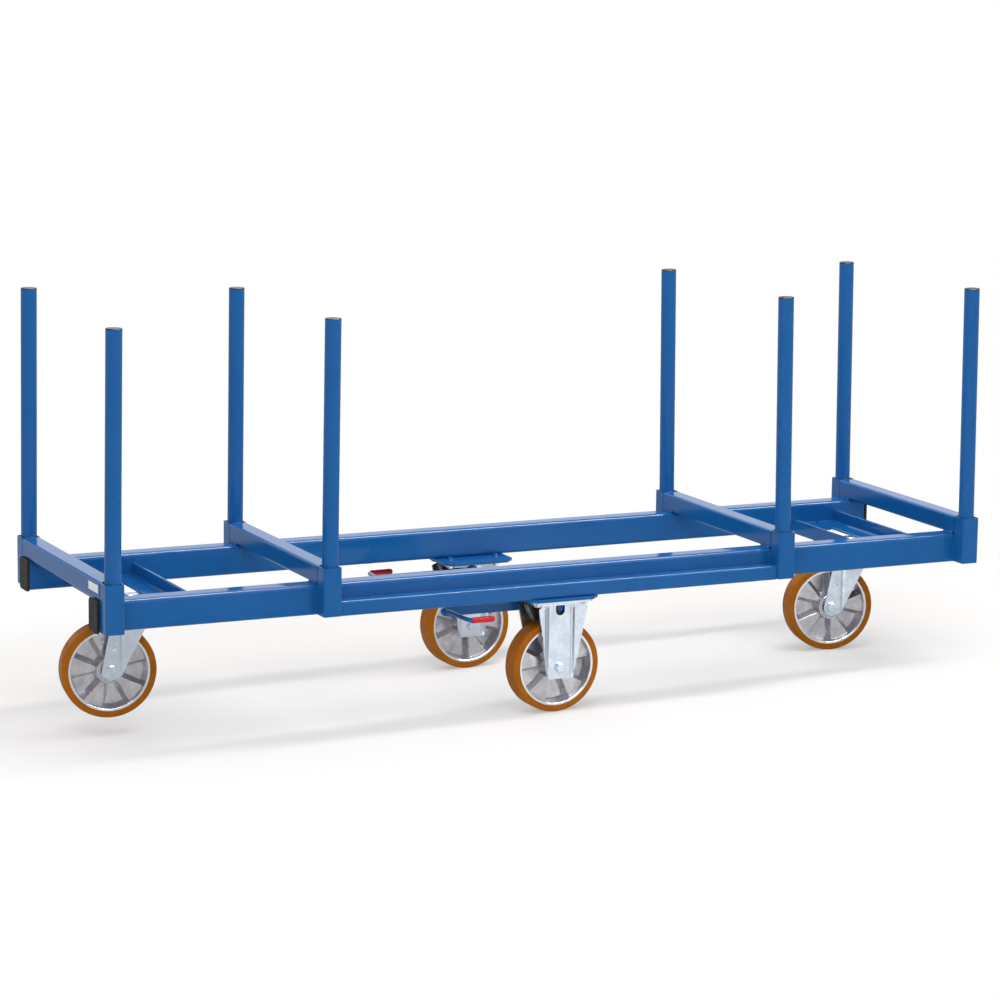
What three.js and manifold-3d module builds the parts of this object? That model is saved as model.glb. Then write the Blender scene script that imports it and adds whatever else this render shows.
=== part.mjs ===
// Long material cart: two side rails under four cross bars, eight loose stakes in pockets,
// two swivel castors at the ends and two fixed castors with brakes in the middle.
// Millimetres. X runs along the cart, Y across it and Z up. The origin lies on the floor,
// midway along and across, where the two fixed castors stand.
import * as THREE from "three";
import { mergeVertices } from "three/addons/utils/BufferGeometryUtils.js";
import Module from "manifold-3d";

const wasm = await Module();
wasm.setup();

// Clearances
const seam = 0.3; // left between pieces that are welded together or seated on each other
const runningGap = 0.4; // radial, between a turning piece and what it turns on
const boltGap = 0.7; // radial, round a bolt in its hole
const overrun = 2; // a cutter starts and ends this far outside what it cuts
const weldSink = 0.5; // tubes of one welded piece run this far into each other

// Side rails
const cartLength = 2550; // over the rails
const frameWidth = 624; // over the outer faces of the rails
const railHeight = 80;
const railWidth = 60;
const railWall = 4;
const railRadius = 10;
const doublerSize = 40; // tube welded to the outer face of each rail, between the inner pockets
const doublerWall = 3;
const doublerRadius = 6;
const mountPlateThickness = 8; // carries the fixed castor under each rail
const mountPlateLength = 210;
const mountPlateWidth = 192;
const mountPlateCorner = 25;

// Cross bars and stake pockets
const barSize = 50;
const barWall = 3;
const barRadius = 6;
const innerBarOffset = 665; // from mid length to the middle of an inner cross bar
const pocketSize = 50;
const pocketWall = 2.5;
const pocketRadius = 6;
const pocketStep = 3; // a pocket ends this far above the underside of the rail
const pocketFloor = 5;
const drainRadius = 6;

// Stakes and their caps
const stakeRadius = 21.2;
const stakeWall = 2.6;
const stakeRise = 640; // cap top over the deck
const tallStakeExtra = 23; // the first stake of the back row is this much longer
const capThickness = 3;
const capEdge = 1;
const capPlugLength = 14;
const capPlugGap = 0.5;

// Rail buffers
const bufferThickness = 8;
const bufferLip = 3; // the buffer is this much larger than the rail on every side
const bufferEdge = 2.5;
const bufferPlugLength = 24;
const bufferPlugGap = 0.5;

// Wheels
const wheelRadius = 125;
const tyreWidth = 58;
const tyreShoulder = 6;
const rimRadius = 107;
const rimWidth = 58.8;
const rimRingThickness = 6.5;
const panelThickness = 8;
const panelFace = 16; // a panel's outer face lies this far from the middle of the wheel
const ribThickness = 5;
const hubRadius = 32;
const hubLength = 60;

// Axles
const axleRadius = 8;
const sleeveRadius = 12.5; // the rim turns on this sleeve
const collarRadius = 18;
const axleHeadRadius = 13.5;
const axleHeadHeight = 9;

// All castors
const castorPlateLength = 175;
const castorPlateWidth = 140;
const castorPlateThickness = 8;
const castorPlateCorner = 12;
const castorBoltLength = 140; // spacing along the plate
const castorBoltWidth = 105; // spacing across the plate
const castorBoltRadius = 5;
const castorHeadRadius = 9.8;
const castorHeadHeight = 7;

// Swivel castors
const castorInset = 195; // from the rail end to the swivel axis
const endRise = 23; // the end wheels stand this much higher than the middle ones
const swivelTrail = 65;
const swivelAngleLeft = 9.7; // degrees, how far each castor has turned in the photographed state
const swivelAngleRight = 11.7;
const forkGap = 72; // between the legs
const forkThickness = 5;
const forkTipBack = 22; // reach of a leg's lower end past the axle, away from the swivel axis
const forkTipFront = 36;
const forkTipDrop = 22;
const forkTopBack = 6; // reach of a leg's upper end from the axle, towards the swivel axis
const forkTopFront = 109;
const crownHeight = 7; // the crown's underside over the top of the wheel
const crownThickness = 6;
const crownFront = 50;
const raceRadius = 50;
const raceHeight = 22; // over the crown
const raceGap = 1;
const cupRadius = 60;
const cupDepth = 16;
const kingpinRadius = 13;
const kingpinNutRadius = 21;
const kingpinNutHeight = 12;

// Angles that carry the swivel castors
const angleUpright = 40;
const angleFlange = 60;
const angleThickness = 6;
const angleSpread = 194; // over the uprights of a pair

// Fixed castors
const fixedSpread = 559; // between the middles of the two fixed wheels
const bracketGap = 84; // between the legs
const bracketThickness = 5;
const legWideTop = 83; // reach of a leg along the cart, on its wide side
const legNarrowTop = 60;
const legWideFoot = 42;
const legNarrowFoot = 34;
const legFootDrop = 31;
const legFootRadius = 10;
const legShoulderDrop = 16; // the leg is cut in above here to clear the bolt heads
const legNeck = 56;
const slotWidth = 26;
const slotHeight = 27;

// Brake levers
const brakeShaftDrop = 25; // from the top of the castor plate down to the shaft's middle
const brakeShaftRadius = 7.5;
const leverHubRadius = 13.5;
const leverBarHeight = 24;
const leverBarThickness = 8;
const leverBarLength = 290; // from the shaft to the middle of the bar's round end
const leverBarDrop = 6; // the middle of the bar lies this far under the shaft
const leverBarGap = 1;
const leverRodRadius = 6;
const leverRodRise = 4; // the rod starts this far above the middle of the bar
const leverBendOffset = 22; // along the cart from the rod's start to its bend
const leverBendReach = 336; // from mid width to the rod's bend
const leverBendDrop = 4.5; // from the middle of the bar down to the bend
const gripLength = 66;
const gripRadius = 8.2;
const gripGap = 0.3;
const gripStart = 6; // from the bend to the grip
const shoeReach = 80;
const shoeFoot = 60;
const shoeNose = 20;
const shoeTop = 10; // above the shaft
const shoeGap = 11; // over the tyre while the brake is off
const shoeWidth = 36;

// Counts and angles
const tubeCornerSteps = 2;
const roundSides = 16;
const wheelSides = 32;
const shaftSides = 14;
const boltSides = 8;
const rodSides = 10;
const hexSides = 6;
const sectorCount = 10;
const sectorArcSteps = 3;
const shoulderSteps = 2;
const tipSteps = 4;
const footSteps = 3;
const ballDetail = 1;
const quarter = Math.PI / 2;
const sectorAngle = (2 * Math.PI) / sectorCount;
const panelPhase = { left: 11, right: -15, front: 6, back: -15.5 }; // degrees at rest

// Heights and places that follow
const crownBottom = 2 * wheelRadius + crownHeight;
const crownTop = crownBottom + crownThickness;
const cupBottom = crownTop + raceHeight + raceGap;
const castorHeight = cupBottom + cupDepth + castorPlateThickness;
const brakeShaftHeight = castorHeight - brakeShaftDrop;
const railBottom = castorHeight + mountPlateThickness;
const railTop = railBottom + railHeight;
const deckTop = railTop + barSize;
const railMiddle = (frameWidth - railWidth) / 2;
const railInner = frameWidth / 2 - railWidth;
const pocketOuter = frameWidth / 2 + pocketSize;
const pocketMiddle = frameWidth / 2 + pocketSize / 2;
const pocketBottom = railBottom + pocketStep;
const stakeFoot = pocketBottom + pocketFloor + seam;
const stakeTop = deckTop + stakeRise;
const outerBarOffset = cartLength / 2 - barSize / 2;
const barPlaces = [-outerBarOffset, -innerBarOffset, innerBarOffset, outerBarOffset];
const swivelPlace = cartLength / 2 - castorInset;
const angleBottom = castorHeight + endRise;
const sides = { front: -1, back: 1 };
const ends = { left: -1, right: 1 };

// Materials
function finish(color, roughness, metalness) {
  return new THREE.MeshStandardMaterial({ color, roughness, metalness });
}
const bluePaint = finish(0x1d5ba6, 0.28, 0.1);
const zinc = finish(0xc4ced4, 0.35, 0.9);
const castAluminium = finish(0xa7a6a9, 0.45, 0.9);
const polyurethane = finish(0x9a5b14, 0.32, 0);
const blackPlastic = finish(0x2a2927, 0.55, 0);
const redPlastic = finish(0xc21f28, 0.35, 0);

// A closed three.js geometry as a solid that can be joined and cut
function solid(geometry) {
  const bare = geometry.clone();
  bare.deleteAttribute("normal");
  bare.deleteAttribute("uv");
  const merged = mergeVertices(bare);
  const mesh = new wasm.Mesh({
    numProp: 3,
    vertProperties: merged.attributes.position.array,
    triVerts: new Uint32Array(merged.index.array),
  });
  return new wasm.Manifold(mesh);
}

// A solid as a three.js geometry with flat faces
function geometryOf(body) {
  const mesh = body.getMesh();
  const geometry = new THREE.BufferGeometry();
  geometry.setAttribute("position", new THREE.BufferAttribute(mesh.vertProperties, mesh.numProp));
  geometry.setIndex(new THREE.BufferAttribute(mesh.triVerts, 1));
  const flat = geometry.toNonIndexed();
  flat.computeVertexNormals();
  return flat;
}

const join = (first, ...rest) => rest.reduce((sum, body) => sum.add(body), first);
const cut = (first, ...rest) => rest.reduce((sum, body) => sum.subtract(body), first);

// A named piece of the cart, in a group of it
function piece(name, body, material, group) {
  const mesh = new THREE.Mesh(geometryOf(body), material);
  mesh.name = name;
  group.add(mesh);
}

// A box between two corners
function block([x1, y1, z1], [x2, y2, z2]) {
  const geometry = new THREE.BoxGeometry(Math.abs(x2 - x1), Math.abs(y2 - y1), Math.abs(z2 - z1));
  geometry.translate((x1 + x2) / 2, (y1 + y2) / 2, (z1 + z2) / 2);
  return solid(geometry);
}

// How an outline drawn in two axes lies in space when it is extruded along the third
const along = {
  x: new THREE.Matrix4().makeBasis(
    new THREE.Vector3(0, 1, 0),
    new THREE.Vector3(0, 0, 1),
    new THREE.Vector3(1, 0, 0),
  ),
  y: new THREE.Matrix4().makeBasis(
    new THREE.Vector3(1, 0, 0),
    new THREE.Vector3(0, 0, 1),
    new THREE.Vector3(0, -1, 0),
  ),
  z: new THREE.Matrix4(),
};

// An outline extruded along one axis between two places, then moved to a centre
function prism(outline, axis, start, end, centre = [0, 0, 0]) {
  const low = Math.min(start, end);
  const high = Math.max(start, end);
  const geometry = new THREE.ExtrudeGeometry(outline, { depth: high - low, bevelEnabled: false });
  geometry.translate(0, 0, axis === "y" ? -high : low);
  geometry.applyMatrix4(along[axis]);
  geometry.translate(...centre);
  return solid(geometry);
}

// A regular polygon, as the outline of a round or hexagonal bar
function roundOutline(radius, count = roundSides, turn = 0) {
  const corners = Array.from({ length: count }, (_, i) => {
    const angle = turn + (2 * Math.PI * i) / count;
    return new THREE.Vector2(radius * Math.cos(angle), radius * Math.sin(angle));
  });
  return new THREE.Shape(corners);
}

// The corners of a rectangle with rounded corners
function roundedCorners(width, height, radius) {
  const points = [];
  for (let corner = 0; corner < 4; corner++) {
    const across = corner === 0 || corner === 3 ? 1 : -1;
    const up = corner < 2 ? 1 : -1;
    for (let step = 0; step <= tubeCornerSteps; step++) {
      const angle = quarter * (corner + step / tubeCornerSteps);
      const x = across * (width / 2 - radius) + radius * Math.cos(angle);
      const y = up * (height / 2 - radius) + radius * Math.sin(angle);
      points.push(new THREE.Vector2(x, y));
    }
  }
  return points;
}

// The section of a rectangular tube
function tubeOutline(width, height, radius, wall) {
  const outline = new THREE.Shape(roundedCorners(width, height, radius));
  const bore = roundedCorners(width - 2 * wall, height - 2 * wall, radius - wall);
  outline.holes.push(new THREE.Path(bore));
  return outline;
}

// A round bar between two points
function rod(start, end, radius, count = rodSides) {
  const from = new THREE.Vector3(...start);
  const to = new THREE.Vector3(...end);
  const run = to.clone().sub(from);
  const geometry = new THREE.CylinderGeometry(radius, radius, run.length(), count);
  const upright = new THREE.Vector3(0, 1, 0);
  geometry.applyQuaternion(new THREE.Quaternion().setFromUnitVectors(upright, run.clone().normalize()));
  geometry.translate(...from.add(to).multiplyScalar(0.5));
  return solid(geometry);
}

function ball(centre, radius) {
  const geometry = new THREE.IcosahedronGeometry(radius, ballDetail);
  geometry.translate(...centre);
  return solid(geometry);
}

// A closed profile of [radius, place] points turned about the Y axis
function turned(profile, count = wheelSides) {
  const points = profile.map(([radius, place]) => new THREE.Vector2(radius, place));
  if (THREE.ShapeUtils.isClockWise(points)) points.reverse();
  points.push(points[0].clone());
  return solid(new THREE.LatheGeometry(points, count, Math.PI / count));
}

// Side rail with its doubler tube and the mounting plate of its fixed castor
function sideRail(name, side) {
  const middle = side * railMiddle;
  const tube = prism(
    tubeOutline(railWidth, railHeight, railRadius, railWall),
    "x",
    -cartLength / 2,
    cartLength / 2,
    [0, middle, railBottom + railHeight / 2],
  );
  const doublerReach = innerBarOffset - pocketSize / 2 - seam;
  const doubler = prism(
    tubeOutline(doublerSize + weldSink, doublerSize, doublerRadius, doublerWall),
    "x",
    -doublerReach,
    doublerReach,
    [0, side * (frameWidth / 2 + (doublerSize - weldSink) / 2), railBottom + doublerSize / 2],
  );
  piece(name, join(tube, cut(doubler, railBore(middle)), mountPlate(side)), bluePaint, cart);
}

// The hollow of a rail, which keeps what is welded to its outside out of it
function railBore(middle) {
  const bore = roundedCorners(railWidth - 2 * railWall, railHeight - 2 * railWall, railRadius - railWall);
  const reach = cartLength / 2 + overrun;
  return prism(new THREE.Shape(bore), "x", -reach, reach, [0, middle, railBottom + railHeight / 2]);
}

// Mounting plate with cut corners and tapped holes
function mountPlate(side) {
  const reach = mountPlateLength / 2;
  const outer = side * pocketOuter;
  const inner = side * (pocketOuter - mountPlateWidth);
  const corner = side * mountPlateCorner;
  const outline = new THREE.Shape([
    new THREE.Vector2(-reach, inner + corner),
    new THREE.Vector2(-reach + mountPlateCorner, inner),
    new THREE.Vector2(reach - mountPlateCorner, inner),
    new THREE.Vector2(reach, inner + corner),
    new THREE.Vector2(reach, outer - corner),
    new THREE.Vector2(reach - mountPlateCorner, outer),
    new THREE.Vector2(-reach + mountPlateCorner, outer),
    new THREE.Vector2(-reach, outer - corner),
  ]);
  const plate = prism(outline, "z", castorHeight, railBottom + weldSink);
  const hole = roundOutline(castorBoltRadius + boltGap, boltSides);
  const holes = boltPlaces([0, side * (fixedSpread / 2)]).map((place) =>
    prism(hole, "z", castorHeight - overrun, railBottom, place),
  );
  return cut(plate, ...holes);
}

// The four bolt places of a castor plate round its middle
function boltPlaces([x, y]) {
  const places = [];
  for (const lengthSide of [-1, 1])
    for (const widthSide of [-1, 1])
      places.push([x + (lengthSide * castorBoltLength) / 2, y + (widthSide * castorBoltWidth) / 2, 0]);
  return places;
}

function crossBar(name, place) {
  const reach = frameWidth / 2;
  const height = barSize - seam;
  const outline = tubeOutline(barSize, height, barRadius, barWall);
  piece(name, prism(outline, "y", -reach, reach, [place, 0, deckTop - height / 2]), bluePaint, cart);
}

// Stake pocket: a tube on end with a floor that the stake stands on and a drain hole
function stakePocket(name, side, place) {
  const depth = pocketSize - seam;
  const centre = [place, side * (pocketOuter - depth / 2), 0];
  const outline = tubeOutline(pocketSize, depth, pocketRadius, pocketWall);
  const tube = prism(outline, "z", pocketBottom, deckTop, centre);
  const inner = roundedCorners(pocketSize - pocketWall, depth - pocketWall, pocketRadius - pocketWall / 2);
  const floorTop = pocketBottom + pocketFloor;
  const floor = prism(new THREE.Shape(inner), "z", pocketBottom, floorTop, centre);
  const drainOutline = roundOutline(drainRadius, boltSides);
  const drain = prism(drainOutline, "z", pocketBottom - overrun, floorTop + overrun, centre);
  piece(name, cut(join(tube, floor), drain), bluePaint, cart);
}

// Angle section between the rails: a flange over the castor plate and an upright at its outer edge
function castorAngle(name, axis, direction) {
  const reach = railInner - seam;
  const outer = axis + (direction * angleSpread) / 2;
  const inner = outer - direction * angleFlange;
  const upright = outer - direction * angleThickness;
  const flange = block([inner, -reach, angleBottom], [outer, reach, angleBottom + angleThickness]);
  const leg = block([upright, -reach, angleBottom], [outer, reach, angleBottom + angleUpright]);
  const hole = roundOutline(castorBoltRadius + boltGap, boltSides);
  const holes = boltPlaces([axis, 0]).map((place) =>
    prism(hole, "z", angleBottom - overrun, angleBottom + angleThickness + overrun, place),
  );
  piece(name, cut(join(flange, leg), ...holes), bluePaint, cart);
}

// Buffer over a rail's open end, with a plug that holds it in the tube
function railBuffer(name, side, end) {
  const face = cartLength / 2 + seam;
  const edge = cartLength / 2 + bufferThickness - bufferEdge;
  const outer = cartLength / 2 + bufferThickness;
  const centre = [0, side * railMiddle, railBottom + railHeight / 2];
  const width = railWidth + 2 * bufferLip;
  const height = railHeight + 2 * bufferLip;
  const sectionOf = (inset, base) =>
    new THREE.Shape(roundedCorners(width - 2 * inset, height - 2 * inset, base - inset));
  const cap = prism(sectionOf(0, railRadius), "x", end * face, end * edge, centre);
  const nose = prism(sectionOf(bufferEdge, railRadius), "x", end * (edge - weldSink), end * outer, centre);
  const plug = prism(
    sectionOf(bufferLip + railWall + bufferPlugGap, railRadius + bufferLip),
    "x",
    end * (cartLength / 2 - bufferPlugLength),
    end * (face + weldSink),
    centre,
  );
  piece(name, join(cap, nose, plug), blackPlastic, cart);
}

// Stake and its cap, which stand in a pocket
function stake(number, sideName, place) {
  const group = new THREE.Group();
  group.position.set(place, sides[sideName] * pocketMiddle, stakeFoot);
  cart.add(group);
  const extra = sideName === "back" && number === 1 ? tallStakeExtra : 0;
  const height = stakeTop + extra - stakeFoot;
  const shoulder = height - capThickness;
  const outline = roundOutline(stakeRadius);
  outline.holes.push(new THREE.Path(roundOutline(stakeRadius - stakeWall).getPoints()));
  piece(`stake_${sideName}_${number}`, prism(outline, "z", 0, shoulder), bluePaint, group);
  const disc = prism(roundOutline(stakeRadius), "z", shoulder + seam, height - capEdge);
  const top = prism(roundOutline(stakeRadius - capEdge), "z", height - capEdge - weldSink, height);
  const plugRadius = (stakeRadius - stakeWall) * Math.cos(Math.PI / roundSides) - capPlugGap;
  const plug = prism(roundOutline(plugRadius), "z", shoulder - capPlugLength, shoulder + seam + weldSink);
  piece(`stake_cap_${sideName}_${number}`, join(disc, top, plug), blackPlastic, group);
}

// Bolts of a castor plate, head down, screwed into what carries the plate up to a height
function castorBolts(underside, end) {
  return boltPlaces([0, 0]).map((place) => {
    const head = prism(
      roundOutline(castorHeadRadius, hexSides),
      "z",
      underside - castorHeadHeight,
      underside + weldSink,
      place,
    );
    return join(head, prism(roundOutline(castorBoltRadius, boltSides), "z", underside, end, place));
  });
}

function castorPlate(top) {
  const outline = new THREE.Shape(roundedCorners(castorPlateLength, castorPlateWidth, castorPlateCorner));
  return prism(outline, "z", top - castorPlateThickness, top - seam);
}

// Wheel with its rim, tyre and axle, its middle at the group's origin and its axle along Y
function wheel(name, group, legGap, legThickness) {
  piece(`wheel_tyre_${name}`, tyre(), polyurethane, group);
  piece(`wheel_rim_${name}`, rim(panelPhase[name]), castAluminium, group);
  piece(`wheel_axle_${name}`, axle(legGap, legThickness), zinc, group);
}

// Radius of the corners of a polygon whose flats lie at a given radius
const overFlats = (radius, count) => radius / Math.cos(Math.PI / count);

function tyre() {
  const half = tyreWidth / 2;
  const bore = overFlats(rimRadius + seam, wheelSides);
  const tread = overFlats(wheelRadius, wheelSides);
  const profile = [[bore, -half]];
  for (const end of [-1, 1])
    for (let step = 0; step <= shoulderSteps; step++) {
      const angle = end < 0 ? quarter * (1 - step / shoulderSteps) : (quarter * step) / shoulderSteps;
      profile.push([
        tread - tyreShoulder * (1 - Math.cos(angle)),
        end * (half - tyreShoulder * (1 - Math.sin(angle))),
      ]);
    }
  profile.push([bore, half]);
  return turned(profile);
}

// Cast rim: an outer ring, a hub, and panels that lie towards one face and the other in turn
function rim(phase) {
  const half = rimWidth / 2;
  const outer = overFlats(rimRadius, wheelSides);
  const inner = outer - rimRingThickness;
  const bore = overFlats(sleeveRadius + runningGap, shaftSides);
  const ring = turned([
    [inner, -half],
    [outer, -half],
    [outer, half],
    [inner, half],
  ]);
  const hub = prism(roundOutline(hubRadius, roundSides), "y", -hubLength / 2, hubLength / 2);
  const panels = Array.from({ length: sectorCount }, (_, i) => {
    const start = THREE.MathUtils.degToRad(phase) + i * sectorAngle;
    const face = i % 2 === 0 ? -panelFace : panelFace;
    const back = i % 2 === 0 ? -panelFace + panelThickness : panelFace - panelThickness;
    return prism(sectorOutline(start, (inner + outer) / 2), "y", face, back);
  });
  const ribs = Array.from({ length: sectorCount }, (_, i) =>
    ribBlock(THREE.MathUtils.degToRad(phase) + i * sectorAngle),
  );
  const hole = prism(roundOutline(bore, shaftSides), "y", -hubLength, hubLength);
  return cut(join(ring, hub, ...panels, ...ribs), hole);
}

function sectorOutline(start, radius) {
  const points = [];
  for (let step = 0; step <= sectorArcSteps; step++) {
    const angle = start + (sectorAngle * step) / sectorArcSteps;
    points.push(new THREE.Vector2(radius * Math.cos(angle), radius * Math.sin(angle)));
  }
  const inner = hubRadius - weldSink;
  for (let step = sectorArcSteps; step >= 0; step--) {
    const angle = start + (sectorAngle * step) / sectorArcSteps;
    points.push(new THREE.Vector2(inner * Math.cos(angle), inner * Math.sin(angle)));
  }
  return new THREE.Shape(points);
}

// Wall between two neighbouring panels
function ribBlock(angle) {
  const inner = hubRadius - weldSink;
  const outer = rimRadius - rimRingThickness / 2;
  const half = ribThickness / 2;
  const corners = [
    [inner, -half],
    [outer, -half],
    [outer, half],
    [inner, half],
  ].map(([x, y]) => new THREE.Vector2(x, y).rotateAround(new THREE.Vector2(), angle));
  return prism(new THREE.Shape(corners), "y", -panelFace, panelFace);
}

// Axle bolt with the sleeve that the rim turns on and collars that fill the fork
function axle(legGap, legThickness) {
  const inside = legGap / 2 - seam;
  const outside = legGap / 2 + legThickness;
  const sleeve = prism(roundOutline(sleeveRadius, shaftSides), "y", -inside, inside);
  const shank = prism(roundOutline(axleRadius, shaftSides), "y", -outside - overrun, outside + overrun);
  const collars = [-1, 1].map((end) =>
    prism(roundOutline(collarRadius, shaftSides), "y", end * (hubLength / 2 + seam), end * inside),
  );
  const heads = [-1, 1].map((end) =>
    prism(
      roundOutline(axleHeadRadius, hexSides),
      "y",
      end * (outside + seam),
      end * (outside + seam + axleHeadHeight),
    ),
  );
  return join(sleeve, shank, ...collars, ...heads);
}

// Swivel castor: a top plate bolted under the angles, and a fork that turns under it
function swivelCastor(end) {
  const base = new THREE.Group();
  base.position.set(ends[end] * swivelPlace, 0, endRise);
  cart.add(base);
  piece(`swivel_plate_${end}`, swivelPlate(), zinc, base);
  const turning = new THREE.Group();
  turning.rotation.z = -THREE.MathUtils.degToRad(end === "left" ? swivelAngleLeft : swivelAngleRight);
  base.add(turning);
  piece(`swivel_fork_${end}`, swivelFork(), zinc, turning);
  const wheelGroup = new THREE.Group();
  wheelGroup.position.set(-swivelTrail, 0, wheelRadius);
  turning.add(wheelGroup);
  wheel(end, wheelGroup, forkGap, forkThickness);
}

function swivelPlate() {
  const underside = castorHeight - castorPlateThickness;
  const cup = prism(roundOutline(cupRadius), "z", cupBottom, underside + weldSink);
  const bolts = castorBolts(underside, castorHeight + angleThickness);
  const bore = prism(
    roundOutline(overFlats(kingpinRadius + runningGap, shaftSides), shaftSides),
    "z",
    cupBottom - overrun,
    castorHeight + overrun,
  );
  return cut(join(castorPlate(castorHeight), cup, ...bolts), bore);
}

// Fork with its lower bearing race and the kingpin that hangs it in the top plate
function swivelFork() {
  const legInner = forkGap / 2;
  const legOuter = legInner + forkThickness;
  const legs = [-1, 1].map((side) =>
    prism(forkLegOutline(crownTop - wheelRadius), "y", side * legInner, side * legOuter, [
      -swivelTrail,
      0,
      wheelRadius,
    ]),
  );
  const crown = block([forkTopBack - swivelTrail, -legOuter, crownBottom], [crownFront, legOuter, crownTop]);
  const race = prism(roundOutline(raceRadius), "z", crownTop - weldSink, crownTop + raceHeight);
  const pin = prism(
    roundOutline(kingpinRadius, shaftSides),
    "z",
    crownTop,
    castorHeight + seam + kingpinNutHeight,
  );
  const nut = prism(
    roundOutline(kingpinNutRadius, hexSides),
    "z",
    castorHeight + seam,
    castorHeight + seam + kingpinNutHeight,
  );
  const holes = prism(
    roundOutline(axleRadius + seam, shaftSides),
    "y",
    -legOuter - overrun,
    legOuter + overrun,
    [-swivelTrail, 0, wheelRadius],
  );
  return cut(join(crown, ...legs, race, pin, nut), holes);
}

// Side of a fork leg seen square on, its axle at the origin: a rounded tip and sloping edges
function forkLegOutline(top) {
  const points = [];
  for (let step = 0; step <= tipSteps; step++) {
    const angle = 2 * quarter + (quarter * step) / tipSteps;
    points.push(new THREE.Vector2(forkTipBack * Math.cos(angle), forkTipDrop * Math.sin(angle)));
  }
  for (let step = 1; step <= tipSteps; step++) {
    const angle = 3 * quarter + (quarter * step) / tipSteps;
    points.push(new THREE.Vector2(forkTipFront * Math.cos(angle), forkTipDrop * Math.sin(angle)));
  }
  points.push(new THREE.Vector2(forkTopFront, top));
  points.push(new THREE.Vector2(forkTopBack, top));
  return new THREE.Shape(points);
}

// Fixed castor with its wheel, under the mounting plate of a side rail
function fixedCastor(sideName) {
  const group = new THREE.Group();
  group.position.set(0, (sides[sideName] * fixedSpread) / 2, 0);
  cart.add(group);
  piece(`fixed_bracket_${sideName}`, fixedBracket(), zinc, group);
  const wheelGroup = new THREE.Group();
  wheelGroup.position.set(0, 0, wheelRadius);
  group.add(wheelGroup);
  wheel(sideName, wheelGroup, bracketGap, bracketThickness);
}

// Bracket with two legs, each wide towards one end, and its four bolts
function fixedBracket() {
  const underside = castorHeight - castorPlateThickness;
  const inner = bracketGap / 2;
  const outer = inner + bracketThickness;
  const legs = [-1, 1].map((side) =>
    prism(bracketLegOutline(side, underside + weldSink), "y", side * inner, side * outer),
  );
  const holes = prism(roundOutline(axleRadius + seam, shaftSides), "y", -outer - overrun, outer + overrun, [
    0,
    0,
    wheelRadius,
  ]);
  const slot = prism(slotOutline(), "y", -outer - overrun, outer + overrun);
  const bolts = castorBolts(underside, railBottom - seam);
  return join(cut(join(castorPlate(castorHeight), ...legs), holes, slot), ...bolts);
}

// Side of a bracket leg, its origin on the floor under the axle
function bracketLegOutline(side, top) {
  const wide = -side;
  const foot = wheelRadius - legFootDrop;
  const shoulder = castorHeight - castorPlateThickness - legShoulderDrop;
  const footCorner = (reach) => {
    const points = [];
    for (let step = 0; step <= footSteps; step++) {
      const angle = (quarter * step) / footSteps;
      points.push([
        reach - legFootRadius * (1 - Math.cos(angle)),
        foot + legFootRadius * (1 - Math.sin(angle)),
      ]);
    }
    return points;
  };
  const wideFoot = footCorner(legWideFoot);
  const narrowFoot = footCorner(legNarrowFoot).map(([reach, height]) => [-reach, height]);
  const corners = [
    [legNeck, top],
    [legNeck, shoulder + (legWideTop - legNeck) / 2],
    [legWideTop, shoulder],
    ...wideFoot,
    ...narrowFoot.reverse(),
    [-legNarrowTop, shoulder],
    [-legNeck, shoulder + (legNarrowTop - legNeck) / 2],
    [-legNeck, top],
  ];
  const points = corners.map(([reach, height]) => new THREE.Vector2(wide * reach, height));
  return new THREE.Shape(points);
}

// Slot that the brake shaft passes through: square above, round below
function slotOutline() {
  const half = slotWidth / 2;
  const top = brakeShaftHeight + brakeShaftRadius + seam;
  const points = [];
  for (let step = 0; step <= 2 * footSteps; step++) {
    const angle = 2 * quarter + (quarter * step) / footSteps;
    points.push(new THREE.Vector2(half * Math.cos(angle), top - slotHeight + half + half * Math.sin(angle)));
  }
  points.push(new THREE.Vector2(half, top));
  points.push(new THREE.Vector2(-half, top));
  return new THREE.Shape(points);
}

// Brake lever: a flat bar on a cross shaft with its shoe, and a bent rod that carries the grip
function brakeLever(sideName) {
  const side = sides[sideName];
  const group = new THREE.Group();
  group.position.set(0, 0, brakeShaftHeight);
  cart.add(group);
  const castorMiddle = fixedSpread / 2;
  const legOuter = bracketGap / 2 + bracketThickness;
  const barOuter = castorMiddle - legOuter - leverBarGap;
  const barInner = barOuter - leverBarThickness;
  const shaft = prism(
    roundOutline(brakeShaftRadius, shaftSides),
    "y",
    side * (barInner + weldSink),
    side * (castorMiddle + legOuter),
  );
  const hub = prism(roundOutline(leverHubRadius), "y", side * barInner, side * barOuter);
  const barEnd = prism(roundOutline(leverBarHeight / 2), "y", side * barInner, side * barOuter, [
    -leverBarLength,
    0,
    -leverBarDrop,
  ]);
  const half = leverBarHeight / 2;
  const bar = block(
    [-leverBarLength, side * barInner, -leverBarDrop - half],
    [0, side * barOuter, -leverBarDrop + half],
  );
  const rodStart = [-leverBarLength, side * (barInner + leverBarThickness / 2), leverRodRise - leverBarDrop];
  const bend = [-leverBarLength + leverBendOffset, side * leverBendReach, -leverBarDrop - leverBendDrop];
  const rodEnd = [bend[0] + gripStart + gripLength - 2 * gripRadius, bend[1], bend[2]];
  const arm = rod(rodStart, bend, leverRodRadius);
  const handle = rod(bend, rodEnd, leverRodRadius);
  const shoe = prism(
    shoeOutline(),
    "y",
    side * (castorMiddle - shoeWidth / 2),
    side * (castorMiddle + shoeWidth / 2),
  );
  const lever = join(shaft, hub, barEnd, bar, arm, ball(bend, leverRodRadius), handle, shoe);
  piece(`brake_lever_${sideName}`, lever, bluePaint, group);
  piece(`brake_grip_${sideName}`, leverGrip(bend, rodEnd), redPlastic, group);
}

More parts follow.
